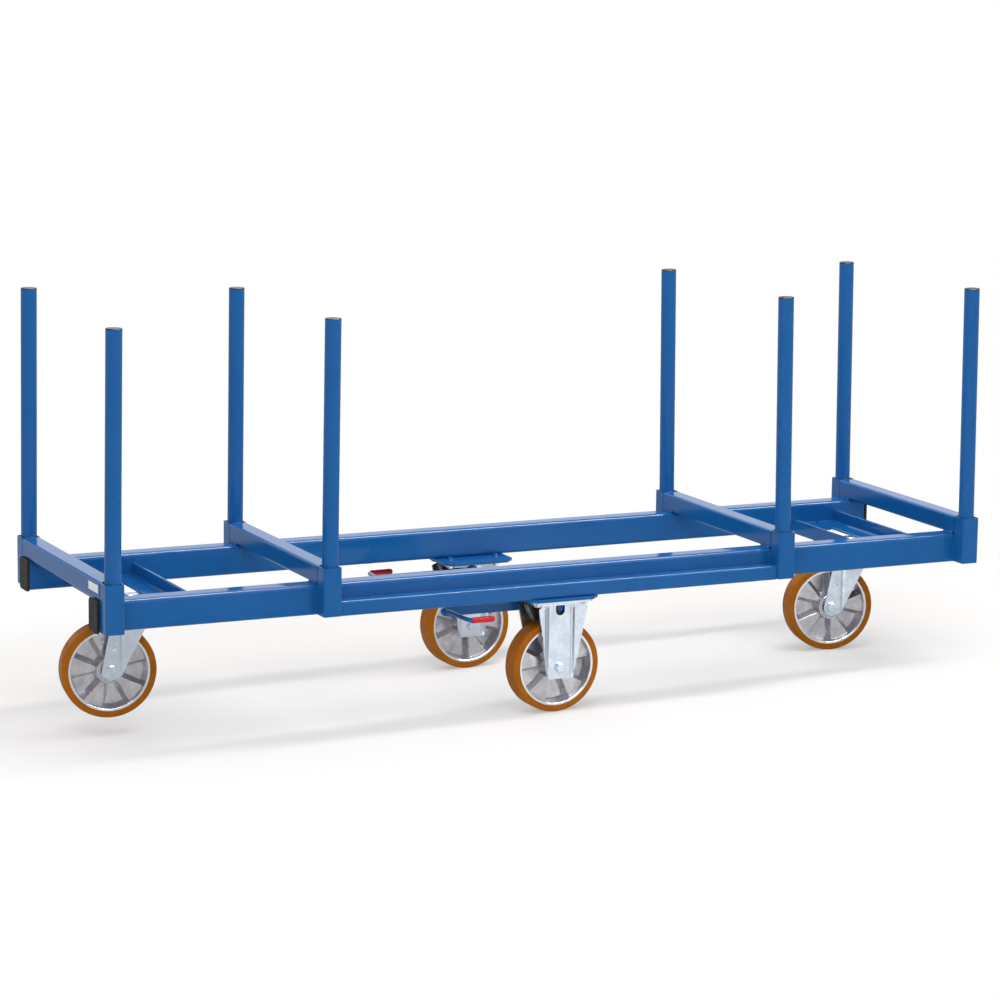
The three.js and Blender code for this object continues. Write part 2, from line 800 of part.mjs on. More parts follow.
// Grip pushed over the end of the lever's rod, with a round nose
function leverGrip(bend, rodEnd) {
  const start = [bend[0] + gripStart, bend[1], bend[2]];
  const end = [bend[0] + gripStart + gripLength - gripRadius, bend[1], bend[2]];
  const body = rod(start, end, gripRadius);
  const boreStart = [start[0] - overrun, start[1], start[2]];
  const boreEnd = [rodEnd[0] + gripGap, rodEnd[1], rodEnd[2]];
  const bore = rod(boreStart, boreEnd, overFlats(leverRodRadius + gripGap, rodSides));
  return cut(join(body, ball(end, gripRadius)), bore);
}

// Shoe seen square on, the shaft at the origin: its underside follows the tyre at a gap
function shoeOutline() {
  const drop = brakeShaftHeight - wheelRadius;
  const radius = wheelRadius + shoeGap;
  const points = [new THREE.Vector2(-shoeReach, shoeTop)];
  for (let step = 0; step <= tipSteps; step++) {
    const x = -shoeFoot + ((shoeFoot - shoeNose) * step) / tipSteps;
    points.push(new THREE.Vector2(x, Math.sqrt(radius ** 2 - x ** 2) - drop));
  }
  points.push(new THREE.Vector2(leverHubRadius, -brakeShaftRadius));
  points.push(new THREE.Vector2(leverHubRadius, shoeTop));
  return new THREE.Shape(points);
}

// The whole cart
const cart = new THREE.Group();

for (const [sideName, side] of Object.entries(sides)) {
  sideRail(`side_rail_${sideName}`, side);
  barPlaces.forEach((place, i) => stakePocket(`stake_pocket_${sideName}_${i + 1}`, side, place));
  barPlaces.forEach((place, i) => stake(i + 1, sideName, place));
  for (const [endName, end] of Object.entries(ends))
    railBuffer(`rail_buffer_${sideName}_${endName}`, side, end);
  fixedCastor(sideName);
  brakeLever(sideName);
}
barPlaces.forEach((place, i) => crossBar(`cross_bar_${i + 1}`, place));
for (const [endName, end] of Object.entries(ends)) {
  castorAngle(`castor_angle_${endName}_outer`, end * swivelPlace, end);
  castorAngle(`castor_angle_${endName}_inner`, end * swivelPlace, -end);
  swivelCastor(endName);
}

export default cart;
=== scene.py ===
# Looks for the long material cart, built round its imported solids.
# The makers of shapes work in millimetres; add_piece brings each piece to metres.
import math

import bmesh
import bpy
from mathutils import Matrix, Vector


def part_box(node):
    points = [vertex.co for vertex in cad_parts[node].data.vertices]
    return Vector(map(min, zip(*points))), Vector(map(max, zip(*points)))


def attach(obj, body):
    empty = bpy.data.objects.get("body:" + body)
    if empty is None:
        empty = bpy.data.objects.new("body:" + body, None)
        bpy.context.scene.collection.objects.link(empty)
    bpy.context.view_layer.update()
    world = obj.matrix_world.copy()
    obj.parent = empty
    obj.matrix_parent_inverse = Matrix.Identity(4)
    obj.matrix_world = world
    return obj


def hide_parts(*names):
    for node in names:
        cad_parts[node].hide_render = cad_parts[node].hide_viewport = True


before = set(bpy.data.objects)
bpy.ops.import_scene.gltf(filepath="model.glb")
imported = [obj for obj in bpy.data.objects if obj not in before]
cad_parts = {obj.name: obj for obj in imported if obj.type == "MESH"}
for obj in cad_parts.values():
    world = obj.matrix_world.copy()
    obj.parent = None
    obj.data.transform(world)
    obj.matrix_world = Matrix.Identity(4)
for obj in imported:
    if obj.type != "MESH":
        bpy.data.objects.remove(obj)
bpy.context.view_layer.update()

METRES = 0.001
SIDES = {"front": -1, "back": 1}
ENDS = {"left": -1, "right": 1}
BOTH = (-1, 1)

# Sizes of the solids that the pieces repeat
HALF_LENGTH, HALF_WIDTH = 1275, 312
RAIL_WIDTH, RAIL_HEIGHT, RAIL_WALL, RAIL_CORNER = 60, 80, 4, 10
RAIL_BOTTOM, RAIL_TOP, DECK_TOP = 318, 398, 448
RAIL_MIDDLE, RAIL_LEVEL = HALF_WIDTH - RAIL_WIDTH / 2, (RAIL_BOTTOM + RAIL_TOP) / 2
DOUBLER, DOUBLER_WALL, DOUBLER_REACH = 40, 3, 639.7
BAR, BAR_WALL, BAR_PLACES = 50, 3, (-1250, -665, 665, 1250)
POCKET, POCKET_WALL, POCKET_BOTTOM = 50, 2.5, 321
SQUARE_CORNER = 6  # of doublers, bars and pockets
STAKE_RADIUS, STAKE_WALL = 21.2, 2.6
CASTOR_PLACE, CASTOR_RISE, CASTOR_TRAIL, CASTOR_TOP = 1080, 23, 65, 310
CASTOR_TURN = {"left": 9.7, "right": 11.7}
FIXED_PLACE = 279.5
SHAFT_HEIGHT = 285
WHEEL_RADIUS, TYRE_HALF, RIM_RADIUS = 125, 29, 107
SECTORS = 10
PANEL_PHASE = {"left": 11, "right": -15, "front": 6, "back": -15.5}
GAP = 0.3  # between a piece and the face that it stands against
SUNK = 0.2  # how deep a piece reaches into one that it is joined to

# How far each loose stake's top leans along the cart and across it
STAKE_LEANS = {
    "front": ((9, 1), (6, -2), (-10, 1), (-10, -1)),
    "back": ((7, -2), (6, 1), (-9, 2), (-10, -1)),
}


# Materials


def new_group(name, inputs, outputs):
    """A shader node group with named sockets, and its input and output nodes."""
    group = bpy.data.node_groups.new(name, "ShaderNodeTree")
    for way, sockets in (("INPUT", inputs), ("OUTPUT", outputs)):
        for label, kind in sockets.items():
            group.interface.new_socket(name=label, in_out=way, socket_type="NodeSocket" + kind)
    return group, group.nodes.new("NodeGroupInput"), group.nodes.new("NodeGroupOutput")


def with_values(node, **values):
    """The node with the values of its named inputs set."""
    for label, value in values.items():
        node.inputs[label.replace("_", " ")].default_value = value
    return node


def new_node(tree, kind, operation="", group=None, **values):
    """A shader node with its operation or group and the values of its named inputs."""
    made = tree.nodes.new("ShaderNode" + kind)
    if operation:
        made.operation = operation
    if group:
        made.node_tree = group
    return with_values(made, **values)


def soft_step(tree, start, end, low=0, high=1):
    """A node that passes softly from low to high between two values."""
    made = new_node(tree, "MapRange", From_Min=start, From_Max=end, To_Min=low, To_Max=high)
    made.interpolation_type = "SMOOTHSTEP"
    return made


def join(source, output, target, entry):
    """Links an output of a node to an input of another one in its tree."""
    source.id_data.links.new(source.outputs[output], target.inputs[entry])


def mottle_group():
    """Two colours and two roughnesses mixed by a soft cloud."""
    group, source, result = new_group(
        "mottle",
        {"Main": "Color", "Other": "Color", "Smooth": "Float", "Rough": "Float", "Scale": "Float"},
        {"Color": "Color", "Roughness": "Float"},
    )
    place = new_node(group, "TexCoord")
    cloud = new_node(group, "TexNoise", Detail=6, Roughness=0.6)
    spread = soft_step(group, 0.35, 0.68)
    colour, gloss = new_node(group, "Mix"), new_node(group, "Mix")
    colour.data_type = "RGBA"
    join(place, "Object", cloud, "Vector")
    join(source, "Scale", cloud, "Scale")
    join(cloud, "Fac", spread, "Value")
    join(spread, "Result", colour, "Factor")
    join(source, "Main", colour, 6)
    join(source, "Other", colour, 7)
    join(spread, "Result", gloss, "Factor")
    join(source, "Smooth", gloss, 2)
    join(source, "Rough", gloss, 3)
    join(colour, 2, result, "Color")
    join(gloss, 0, result, "Roughness")
    return group


def grain_group():
    """A fine relief of noise."""
    sockets = {"Scale": "Float", "Depth": "Float"}
    group, source, result = new_group("grain", sockets, {"Normal": "Vector"})
    place = new_node(group, "TexCoord")
    noise = new_node(group, "TexNoise", Detail=3)
    bump = new_node(group, "Bump", Distance=METRES)
    join(place, "Object", noise, "Vector")
    join(source, "Scale", noise, "Scale")
    join(source, "Depth", bump, "Strength")
    join(noise, "Fac", bump, "Height")
    join(bump, "Normal", result, "Normal")
    return group


MOTTLE = mottle_group()
GRAIN = grain_group()


def material(name, main, other, smooth, rough, scale, grain, depth, **shader):
    """A finish with a mottled colour and gloss and a fine grain."""
    made = bpy.data.materials.new(name)
    made.use_nodes = True
    tree = made.node_tree
    surface = with_values(tree.nodes["Principled BSDF"], **shader)
    colours = {"Main": (*main, 1), "Other": (*other, 1)}
    mottle = new_node(tree, "Group", group=MOTTLE, **colours, Smooth=smooth, Rough=rough, Scale=scale)
    relief = new_node(tree, "Group", group=GRAIN, Scale=grain, Depth=depth)
    join(mottle, "Color", surface, "Base Color")
    join(mottle, "Roughness", surface, "Roughness")
    join(relief, "Normal", surface, "Normal")
    return made


POWDER_COAT = material(
    "blue_powder_coat", main=(0.006, 0.094, 0.302), other=(0.009, 0.1, 0.314), smooth=0.06, rough=0.11,
    scale=5, grain=300, depth=0.035, Specular_IOR_Level=0.26,
)
ZINC = material(
    "bright_zinc", main=(0.76, 0.845, 0.94), other=(0.67, 0.755, 0.855), smooth=0.14, rough=0.26,
    scale=30, grain=500, depth=0.04, Metallic=0.94,
)
CAST_ALUMINIUM = material(
    "cast_aluminium", main=(0.7, 0.685, 0.72), other=(0.52, 0.51, 0.535), smooth=0.24, rough=0.4,
    scale=30, grain=650, depth=0.08, Metallic=0.95,
)
TURNED_ALUMINIUM = material(
    "turned_aluminium", main=(0.9, 0.905, 0.93), other=(0.84, 0.85, 0.88), smooth=0.2, rough=0.3,
    scale=30, grain=1200, depth=0.05, Metallic=0.95,
)
POLYURETHANE = material(
    "amber_polyurethane", main=(0.36, 0.112, 0.0036), other=(0.305, 0.09, 0.0027), smooth=0.4, rough=0.52,
    scale=20, grain=140, depth=0.04, Specular_IOR_Level=0.09,
)
BLACK_PLASTIC = material(
    "black_plastic", main=(0.012, 0.012, 0.013), other=(0.02, 0.02, 0.021), smooth=0.32, rough=0.46,
    scale=50, grain=1100, depth=0.12,
)
BLACK_RUBBER = material(
    "black_rubber", main=(0.012, 0.0115, 0.011), other=(0.02, 0.019, 0.018), smooth=0.52, rough=0.68,
    scale=35, grain=800, depth=0.16, Specular_IOR_Level=0.3,
)
# Black steel of the brake shoes, and of the black sheets in the brackets' slots, which are painted shade
BLACK_STEEL_AND_SHADE = material(
    "black_steel", main=(0.008, 0.008, 0.009), other=(0.02, 0.019, 0.02), smooth=0.24, rough=0.5,
    scale=70, grain=500, depth=0.3,
)
RED_PLASTIC = material(
    "red_plastic", main=(0.62, 0.008, 0.018), other=(0.55, 0.007, 0.015), smooth=0.22, rough=0.32,
    scale=60, grain=600, depth=0.05, Specular_IOR_Level=0.3,
)
BEARING_SEAL = material(
    "bearing_seal", main=(0.11, 0.068, 0.036), other=(0.06, 0.042, 0.028), smooth=0.35, rough=0.55,
    scale=120, grain=900, depth=0.2, Metallic=0.3,
)
LABEL_PAPER = material(
    "label_paper", main=(0.82, 0.82, 0.83), other=(0.76, 0.77, 0.79), smooth=0.45, rough=0.6,
    scale=90, grain=1500, depth=0.05,
)


# Shapes


def matrix_of(x_axis, y_axis, z_axis):
    """A turn that lays the drawing axes along three directions."""
    return Matrix((x_axis, y_axis, z_axis)).transposed().to_4x4()


ALONG = {
    "x": matrix_of((0, 1, 0), (0, 0, 1), (1, 0, 0)),
    "y": matrix_of((1, 0, 0), (0, 0, 1), (0, -1, 0)),
    "z": Matrix.Identity(4),
}


def merged(*shapes):
    """Several shapes as one, each kept closed."""
    whole = bmesh.new()
    for shape in shapes:
        mesh = bpy.data.meshes.new("shape")
        shape.to_mesh(mesh)
        shape.free()
        whole.from_mesh(mesh)
        bpy.data.meshes.remove(mesh)
    return whole


def moved(shape, vector=(0, 0, 0), turn=0.0, axis="Z"):
    """The shape turned about an axis through the origin, in degrees, and then moved."""
    place = Matrix.Translation(vector) @ Matrix.Rotation(math.radians(turn), 4, axis)
    bmesh.ops.transform(shape, matrix=place, verts=shape.verts)
    return shape


def rounded(shape, parts, size, steps, affect):
    """Rounds edges or corners of a shape."""
    bmesh.ops.bevel(
        shape,
        geom=parts,
        offset=size,
        offset_type="OFFSET",
        segments=steps,
        profile=0.5,
        affect=affect,
        clamp_overlap=True,
        material=-1,
    )


def soften(shape, size, steps=2, angle=40.0):
    """Rounds every edge that is sharper than an angle."""
    limit = math.radians(angle)
    edges = [e for e in shape.edges if len(e.link_faces) == 2 and e.calc_face_angle(0) > limit]
    rounded(shape, edges, size, steps, "EDGES")
    return shape


def drawn_face(shape, points, steps=5):
    """A flat face through [x, y] points; a third number rounds a corner by that length."""
    corners = [shape.verts.new((point[0], point[1], 0)) for point in points]
    shape.faces.new(corners)
    for corner, point in zip(corners, points):
        if len(point) == 3:
            rounded(shape, [corner], point[2], steps, "VERTICES")


def new_verts(made):
    return [item for item in made["geom"] if isinstance(item, bmesh.types.BMVert)]


def drawn_out(shape, axis, start, end, centre):
    """The drawn faces of a shape drawn out along an axis between two places."""
    low, high = min(start, end), max(start, end)
    made = bmesh.ops.extrude_face_region(shape, geom=shape.faces[:])
    bmesh.ops.translate(shape, vec=(0, 0, high - low), verts=new_verts(made))
    bmesh.ops.translate(shape, vec=(0, 0, -high if axis == "y" else low), verts=shape.verts)
    bmesh.ops.transform(shape, matrix=Matrix.Translation(centre) @ ALONG[axis], verts=shape.verts)
    bmesh.ops.recalc_face_normals(shape, faces=shape.faces)
    return shape


def prism(points, axis, start, end, centre=(0, 0, 0), edge=0.0, steps=5):
    """An outline drawn out along an axis between two places, its edges rounded if asked."""
    shape = bmesh.new()
    drawn_face(shape, points, steps)
    drawn_out(shape, axis, start, end, centre)
    return soften(shape, edge) if edge else shape


def rectangle(width, height, corner):
    x, y = width / 2, height / 2
    return [(-x, -y, corner), (x, -y, corner), (x, y, corner), (-x, y, corner)]


def hollow(points, wall, axis, start, end, centre=(0, 0, 0)):
    """An outline drawn out as a tube, open at its ends."""
    shape = bmesh.new()
    drawn_face(shape, points, 6)
    inner = shape.faces[:]
    bmesh.ops.inset_region(shape, faces=inner, thickness=wall, use_even_offset=True, use_boundary=True)
    bmesh.ops.delete(shape, geom=inner, context="FACES_ONLY")
    return drawn_out(shape, axis, start, end, centre)


def tube(width, height, corner, wall, axis, start, end, centre):
    """A rectangular tube with rounded corners."""
    return hollow(rectangle(width, height, corner), wall, axis, start, end, centre)


def turned(profile, steps=96, axis="y"):
    """A closed profile of (radius, place) points turned about an axis."""
    shape = bmesh.new()
    points = [shape.verts.new((max(radius, 0.0), place, 0)) for radius, place in profile]
    edges = [shape.edges.new((a, b)) for a, b in zip(points, points[1:] + points[:1])]
    bmesh.ops.spin(
        shape,
        geom=points + edges,
        cent=(0, 0, 0),
        axis=(0, 1, 0),
        dvec=(0, 0, 0),
        angle=2 * math.pi,
        steps=steps,
        use_merge=True,
    )
    bmesh.ops.remove_doubles(shape, verts=shape.verts, dist=0.0005)
    bmesh.ops.dissolve_degenerate(shape, dist=0.0005, edges=shape.edges)
    if axis == "z":
        moved(shape, turn=90, axis="X")
    if axis == "x":
        moved(shape, turn=-90, axis="Z")
    bmesh.ops.recalc_face_normals(shape, faces=shape.faces)
    return shape


def round_bar(bore, radius, low, high, steps, axis="y", chamfer=0.0):
    """A round bar or, with a bore, a sleeve; its upper rim can be chamfered."""
    rim = [(radius, high - chamfer), (radius - chamfer, high)] if chamfer else [(radius, high)]
    return turned([(bore, low), (radius, low), *rim, (bore, high)], steps, axis)


def arc(centre, radius, start, end, steps=5):
    """Points on an arc, as (radius, place) pairs of a profile or as drawing points."""
    angles = [math.radians(start + (end - start) * i / steps) for i in range(steps + 1)]
    return [(centre[0] + radius * math.cos(a), centre[1] + radius * math.sin(a)) for a in angles]


def swept(path, radii, sides=12):
    """A round bar along a path, with a radius for each of its points."""
    path = [Vector(point) for point in path]
    places = []
    turn = (path[1] - path[0]).to_track_quat("Z", "Y")
    for i, point in enumerate(path):
        ahead = (path[min(i + 1, len(path) - 1)] - path[max(i - 1, 0)]).normalized()
        turn = (turn @ Vector((0, 0, 1))).rotation_difference(ahead) @ turn
        places.append(Matrix.Translation(point) @ turn.to_matrix().to_4x4() @ Matrix.Scale(radii[i], 4))
    shape = bmesh.new()
    circle = bmesh.ops.create_circle(shape, cap_ends=True, segments=sides, radius=1)["verts"]
    bmesh.ops.transform(shape, matrix=places[0], verts=circle)
    edges = shape.edges[:]
    for last, place in zip(places, places[1:]):
        made = bmesh.ops.extrude_edge_only(shape, edges=edges)
        bmesh.ops.transform(shape, matrix=place @ last.inverted(), verts=new_verts(made))
        edges = [item for item in made["geom"] if isinstance(item, bmesh.types.BMEdge)]
    bmesh.ops.edgenet_fill(shape, edges=edges)
    bmesh.ops.recalc_face_normals(shape, faces=shape.faces)
    return shape


def rounded_path(points, radius, steps=7):
    """The corners of a path replaced by smooth bends."""
    points = [Vector(point) for point in points]
    path = [points[0]]
    for before, corner, after in zip(points, points[1:], points[2:]):
        start = corner + (before - corner).normalized() * radius
        end = corner + (after - corner).normalized() * radius
        for i in range(steps + 1):
            share = i / steps
            path.append(start.lerp(corner, share).lerp(corner.lerp(end, share), share))
    return path + [points[-1]]


def bead(start, end, size, pitch=4.5):
    """A weld bead between two points, with the ripples of its run."""
    start, end = Vector(start), Vector(end)
    count = max(3, round((end - start).length / pitch)) * 3
    path = [start.lerp(end, i / count) for i in range(count + 1)]
    radii = [size * (0.86 + 0.14 * math.cos(2 * math.pi * i / 3)) for i in range(count + 1)]
    radii[0] = radii[-1] = size * 0.35
    return swept(path, radii, 7)


def hex_head(radius, height):
    """A hexagon head on the drawing plane, its crown chamfered."""
    crown, chamfer = height * 0.1, radius * 0.13
    shape = prism(arc((0, 0), radius, 0, 300), "z", 0, height)
    top = [face for face in shape.faces if face.calc_center_median().z > height - crown]
    bmesh.ops.inset_region(shape, faces=top, thickness=chamfer, use_even_offset=True, use_boundary=True)
    bmesh.ops.translate(shape, vec=(0, 0, crown), verts=list({v for f in top for v in f.verts}))
    bmesh.ops.recalc_face_normals(shape, faces=shape.faces)
    return soften(shape, radius * 0.03, 1, 20)


def bolt_head(radius, height, washer):
    """A hexagon head on its washer, standing up from the origin."""
    thickness = 1.7
    ring = round_bar(radius * 0.5, washer, 0, thickness, 32, "z", 0.5)
    head = hex_head(radius, height - thickness + 0.1)
    return merged(ring, moved(head, (0, 0, thickness - SUNK)))


def new_object(name, shape):
    """An object of the scene with the shape as its mesh."""
    mesh = bpy.data.meshes.new(name)
    shape.to_mesh(mesh)
    shape.free()
    made = bpy.data.objects.new(name, mesh)
    bpy.context.scene.collection.objects.link(made)
    return made


def add_piece(name, shape, body, finish, stands_for=(), sharp=32.0):
    """Makes a piece of the object from a shape in millimetres, riding on a body."""
    bmesh.ops.transform(shape, matrix=Matrix.Scale(METRES, 4), verts=shape.verts)
    bmesh.ops.recalc_face_normals(shape, faces=shape.faces)
    limit = math.radians(sharp)
    for face in shape.faces:
        face.smooth = True
    for edge in shape.edges:
        edge.smooth = len(edge.link_faces) == 2 and edge.calc_face_angle(math.pi) < limit
    piece = new_object(name, shape)
    piece.data.materials.append(finish)
    piece.modifiers.new("even_shading", "WEIGHTED_NORMAL").keep_sharp = True
    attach(piece, body)
    if stands_for:
        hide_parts(*stands_for)


def painted(name, shape, *nodes, body="cart_frame"):
    """A piece in the cart's blue, in place of the named solids."""
    add_piece(name, shape, body, POWDER_COAT, nodes)


def plated(name, shape, body, *nodes):
    """A piece in bright zinc, in place of the named solids."""
    add_piece(name, shape, body, ZINC, nodes)


def welds(name, runs, size=2.8):
    """Painted weld beads, each between two points."""
    painted(name, merged(*[bead(start, end, size) for start, end in runs]))


def cut_from(shape, *cutters):
    """The shape with the cutters taken out of it."""
    body, cutter = new_object("cut", shape), new_object("cutter", merged(*cutters))
    change = body.modifiers.new("cut", "BOOLEAN")
    change.operation = "DIFFERENCE"
    change.object = cutter
    change.solver = "EXACT"
    bpy.context.view_layer.update()
    result = bmesh.new()
    result.from_object(body, bpy.context.evaluated_depsgraph_get())
    for thing in (body, cutter):
        mesh = thing.data
        bpy.data.objects.remove(thing)
        bpy.data.meshes.remove(mesh)
    return result


# Frame

# The plate that a fixed castor is bolted to: length, width and corner, and its middle across
MOUNT_SIZE, MOUNT_PLACE = (210, 192, 25), 266
# The weld beads under the doubler: where the first starts, and their length and pitch
SEAM_START, SEAM_LENGTH, SEAM_PITCH = -600, 55, 240


def side_rail(side_name):
    """A side rail with its doubler tube, their welds and the castor's mounting plate."""
    side = SIDES[side_name]
    middle = (0, side * RAIL_MIDDLE, RAIL_LEVEL)
    rail = tube(RAIL_WIDTH, RAIL_HEIGHT, RAIL_CORNER, RAIL_WALL, "x", -HALF_LENGTH, HALF_LENGTH, middle)
    painted(f"rail_{side_name}", rail, f"side_rail_{side_name}")
    middle = (0, side * (HALF_WIDTH + DOUBLER / 2 - SUNK), RAIL_BOTTOM + DOUBLER / 2)
    size = (DOUBLER, DOUBLER, SQUARE_CORNER, DOUBLER_WALL)
    painted(f"rail_doubler_{side_name}", tube(*size, "x", -DOUBLER_REACH, DOUBLER_REACH, middle))
    y, z = side * (HALF_WIDTH + SUNK), RAIL_BOTTOM + 0.6
    starts = [SEAM_START + SEAM_PITCH * i for i in (0, 1, 4, 5)]
    welds(f"rail_welds_{side_name}", [((x, y, z), (x + SEAM_LENGTH, y, z)) for x in starts], 2.6)
    outline, centre = rectangle(*MOUNT_SIZE), (0, side * MOUNT_PLACE, 0)
    plate = prism(outline, "z", CASTOR_TOP + 0.1, RAIL_BOTTOM + GAP, centre, edge=1.2, steps=1)
    painted(f"castor_mount_{side_name}", plate)


def stake_pocket(side_name, number):
    """A pocket tube with its drained bottom plate, and its welds to rail and bar."""
    side, x = SIDES[side_name], BAR_PLACES[number - 1]
    depth = POCKET - GAP
    y = side * (HALF_WIDTH + GAP + depth / 2)
    body = tube(POCKET, depth, SQUARE_CORNER, POCKET_WALL, "z", POCKET_BOTTOM, DECK_TOP, (x, y, 0))
    bottom, top = POCKET_BOTTOM + 0.4, POCKET_BOTTOM + 5
    floor = prism(rectangle(POCKET - 3, depth - 3, 4), "z", bottom, top, (x, y, 0), edge=0.4)
    drain = moved(round_bar(0, 6, -8, 14, 24, "z"), (x, y, POCKET_BOTTOM))
    name = f"{side_name}_{number}"
    painted(f"pocket_{name}", merged(body, cut_from(floor, drain)), f"stake_pocket_{name}")
    runs = []
    seam = side * (HALF_WIDTH + 1.6)
    for way in BOTH:
        place = x + way * (POCKET / 2 + 0.6)
        if abs(place) < HALF_LENGTH - 2:
            runs.append(((place, seam, RAIL_BOTTOM + 8), (place, seam, RAIL_TOP - 12)))
    seam = side * (HALF_WIDTH - 0.4)
    runs.append(((x - 18, seam, DECK_TOP - 1), (x + 18, seam, DECK_TOP - 1)))
    welds(f"pocket_welds_{name}", runs)


def cross_bar(number):
    """A deck bar across the rails, with its welds to them."""
    x, height = BAR_PLACES[number - 1], BAR - GAP
    middle = (x, 0, DECK_TOP - height / 2)
    bar = tube(BAR, height, SQUARE_CORNER, BAR_WALL, "y", -HALF_WIDTH, HALF_WIDTH, middle)
    painted(f"deck_bar_{number}", bar, f"cross_bar_{number}")
    runs, seam, from_edge = [], RAIL_TOP + 1.6, 8
    for side in BOTH:
        outer, inner = side * (HALF_WIDTH - from_edge), side * (HALF_WIDTH - RAIL_WIDTH + from_edge)
        for way in BOTH:
            place = x + way * (BAR / 2 + 0.4)
            if abs(place) < HALF_LENGTH - 2:
                runs.append(((place, outer, seam), (place, inner, seam)))
    welds(f"bar_welds_{number}", runs)


ANGLE_BOTTOM, ANGLE_WALL = CASTOR_TOP + CASTOR_RISE, 6
ANGLE_OUTER = 97  # from the swivel axis to the upright flange of an angle
ANGLE_OUTLINE = [(0, 0), (60, 0), (60, 6, 3), (6, 6, 6), (6, 40, 3), (0, 40)]
BETWEEN_RAILS = HALF_WIDTH - RAIL_WIDTH - GAP
GUSSET_START, GUSSET_HALF = 168, 36.7


def castor_angle(end_name, which):
    """An angle section with its rounded root and toes."""
    end = ENDS[end_name]
    way = end if which == "outer" else -end
    outer = end * CASTOR_PLACE + way * ANGLE_OUTER
    outline = [(outer - way * x, ANGLE_BOTTOM + z, *corner) for x, z, *corner in ANGLE_OUTLINE]
    section = prism(outline, "y", -BETWEEN_RAILS, BETWEEN_RAILS)
    painted(f"angle_{end_name}_{which}", section, f"castor_angle_{end_name}_{which}")
    runs = []
    for side in BOTH:
        y = side * (BETWEEN_RAILS - 0.8)
        upright, flat = outer + way, ANGLE_BOTTOM + ANGLE_WALL + 1
        runs.append(((upright, y, ANGLE_BOTTOM + 4), (upright, y, ANGLE_BOTTOM + 36)))
        runs.append(((outer - way * 8, y, flat), (outer - way * 54, y, flat)))
    welds(f"angle_welds_{end_name}_{which}", runs, 2.4)


def castor_gusset(side_name, end_name):
    """A plate between the two angles of a castor, against the side rail."""
    side, end = SIDES[side_name], ENDS[end_name]
    near, far = side * GUSSET_START, side * BETWEEN_RAILS
    low, high = end * CASTOR_PLACE - GUSSET_HALF, end * CASTOR_PLACE + GUSSET_HALF
    outline = [(low, near, 4), (high, near, 4), (high, far), (low, far)]
    plate = prism(outline, "z", ANGLE_BOTTOM - 2, ANGLE_BOTTOM + ANGLE_WALL, edge=0.8)
    y, z = far - side * 0.6, ANGLE_BOTTOM + ANGLE_WALL + 1
    seam = bead((low + 4, y, z), (high - 4, y, z), 2.6)
    painted(f"castor_gusset_{side_name}_{end_name}", merged(plate, seam))


def rail_buffer(side_name, end_name):
    """A rubber buffer with the plug that holds it in a rail's end."""
    end = ENDS[end_name]
    face = HALF_LENGTH + GAP
    centre = (0, SIDES[side_name] * RAIL_MIDDLE, RAIL_LEVEL)
    over_rail, in_rail = rectangle(66, 86, 10), rectangle(51, 71, 5.5)
    cap = prism(over_rail, "x", end * face, end * (HALF_LENGTH + 8), centre, edge=1.8)
    plug = prism(in_rail, "x", end * (HALF_LENGTH - 24), end * (face + 1), centre)
    name = f"{side_name}_{end_name}"
    shape, nodes = merged(cap, plug), [f"rail_buffer_{name}"]
    add_piece(f"buffer_{name}", shape, "cart_frame", BLACK_RUBBER, nodes)


def stake(side_name, number):
    """A loose stake and its cap, leaning a little in the pocket."""
    name = f"{side_name}_{number}"
    low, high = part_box(f"stake_{name}")
    _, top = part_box(f"stake_cap_{name}")
    foot, shoulder, crown = low.z / METRES, high.z / METRES, top.z / METRES
    x, y = BAR_PLACES[number - 1], SIDES[side_name] * (HALF_WIDTH + POCKET / 2)
    inner, outer = STAKE_RADIUS - STAKE_WALL, STAKE_RADIUS
    height, chamfer, edge, plug = shoulder - foot, 0.5, 2.2, 14
    post = [(inner, 0), (outer - chamfer, 0), (outer, chamfer), (outer, height), (inner, height)]
    cap = [(0, height - plug), (inner - 0.5, height - plug), (inner - 0.5, height + 0.4)]
    cap += [(outer, height + 0.4)] + arc((outer - edge, crown - foot - edge), edge, 0, 90)
    cap += [(0, crown - foot)]
    lean = Vector((*STAKE_LEANS[side_name][number - 1], height)).normalized()
    place = Matrix.Translation((x, y, foot))
    place @= Vector((0, 0, 1)).rotation_difference(lean).to_matrix().to_4x4()
    for piece, profile, finish, slot, node in (
        ("post", post, POWDER_COAT, "blue_paint", "stake"),
        ("post_cap", cap, BLACK_PLASTIC, "black_plastic", "stake_cap"),
    ):
        shape = turned(profile, 56, "z")
        bmesh.ops.transform(shape, matrix=place, verts=shape.verts)
        add_piece(f"{piece}_{name}", shape, f"loose_stake_{name}", finish, [f"{node}_{name}"])


def blank_label():
    """The bare white label on the left face of the first deck bar."""
    face, size, centre = BAR_PLACES[0] - BAR / 2, (73, 21, 1.5), (0, -264.5, 427.5)
    label = prism(rectangle(*size), "x", face - 0.25, face - 0.02, centre)
    add_piece("label_blank", label, "cart_frame", LABEL_PAPER)


# Wheels

WALL_HALF = 5.5  # half the width of the sloping wall between two panels
NEAR_PANEL, FAR_PANEL = 14, -9  # how far a panel's two faces stand from mid width
COLUMNS = 7  # mesh lines across a sector: its border, the foot of each wall and those between
WEB_HUB, WEB_RING = 33.5, 101.4  # where the web meets hub and ring
WEB_RADII = (32, WEB_HUB, 36, 38, 40.4, 55, 70, 85, 94.6, 96.8, 98.8, WEB_RING, 103)
WEB_DRAFT = 0.18  # how far hub and ring slope for each millimetre of depth
MARK_CIRCLE = 78

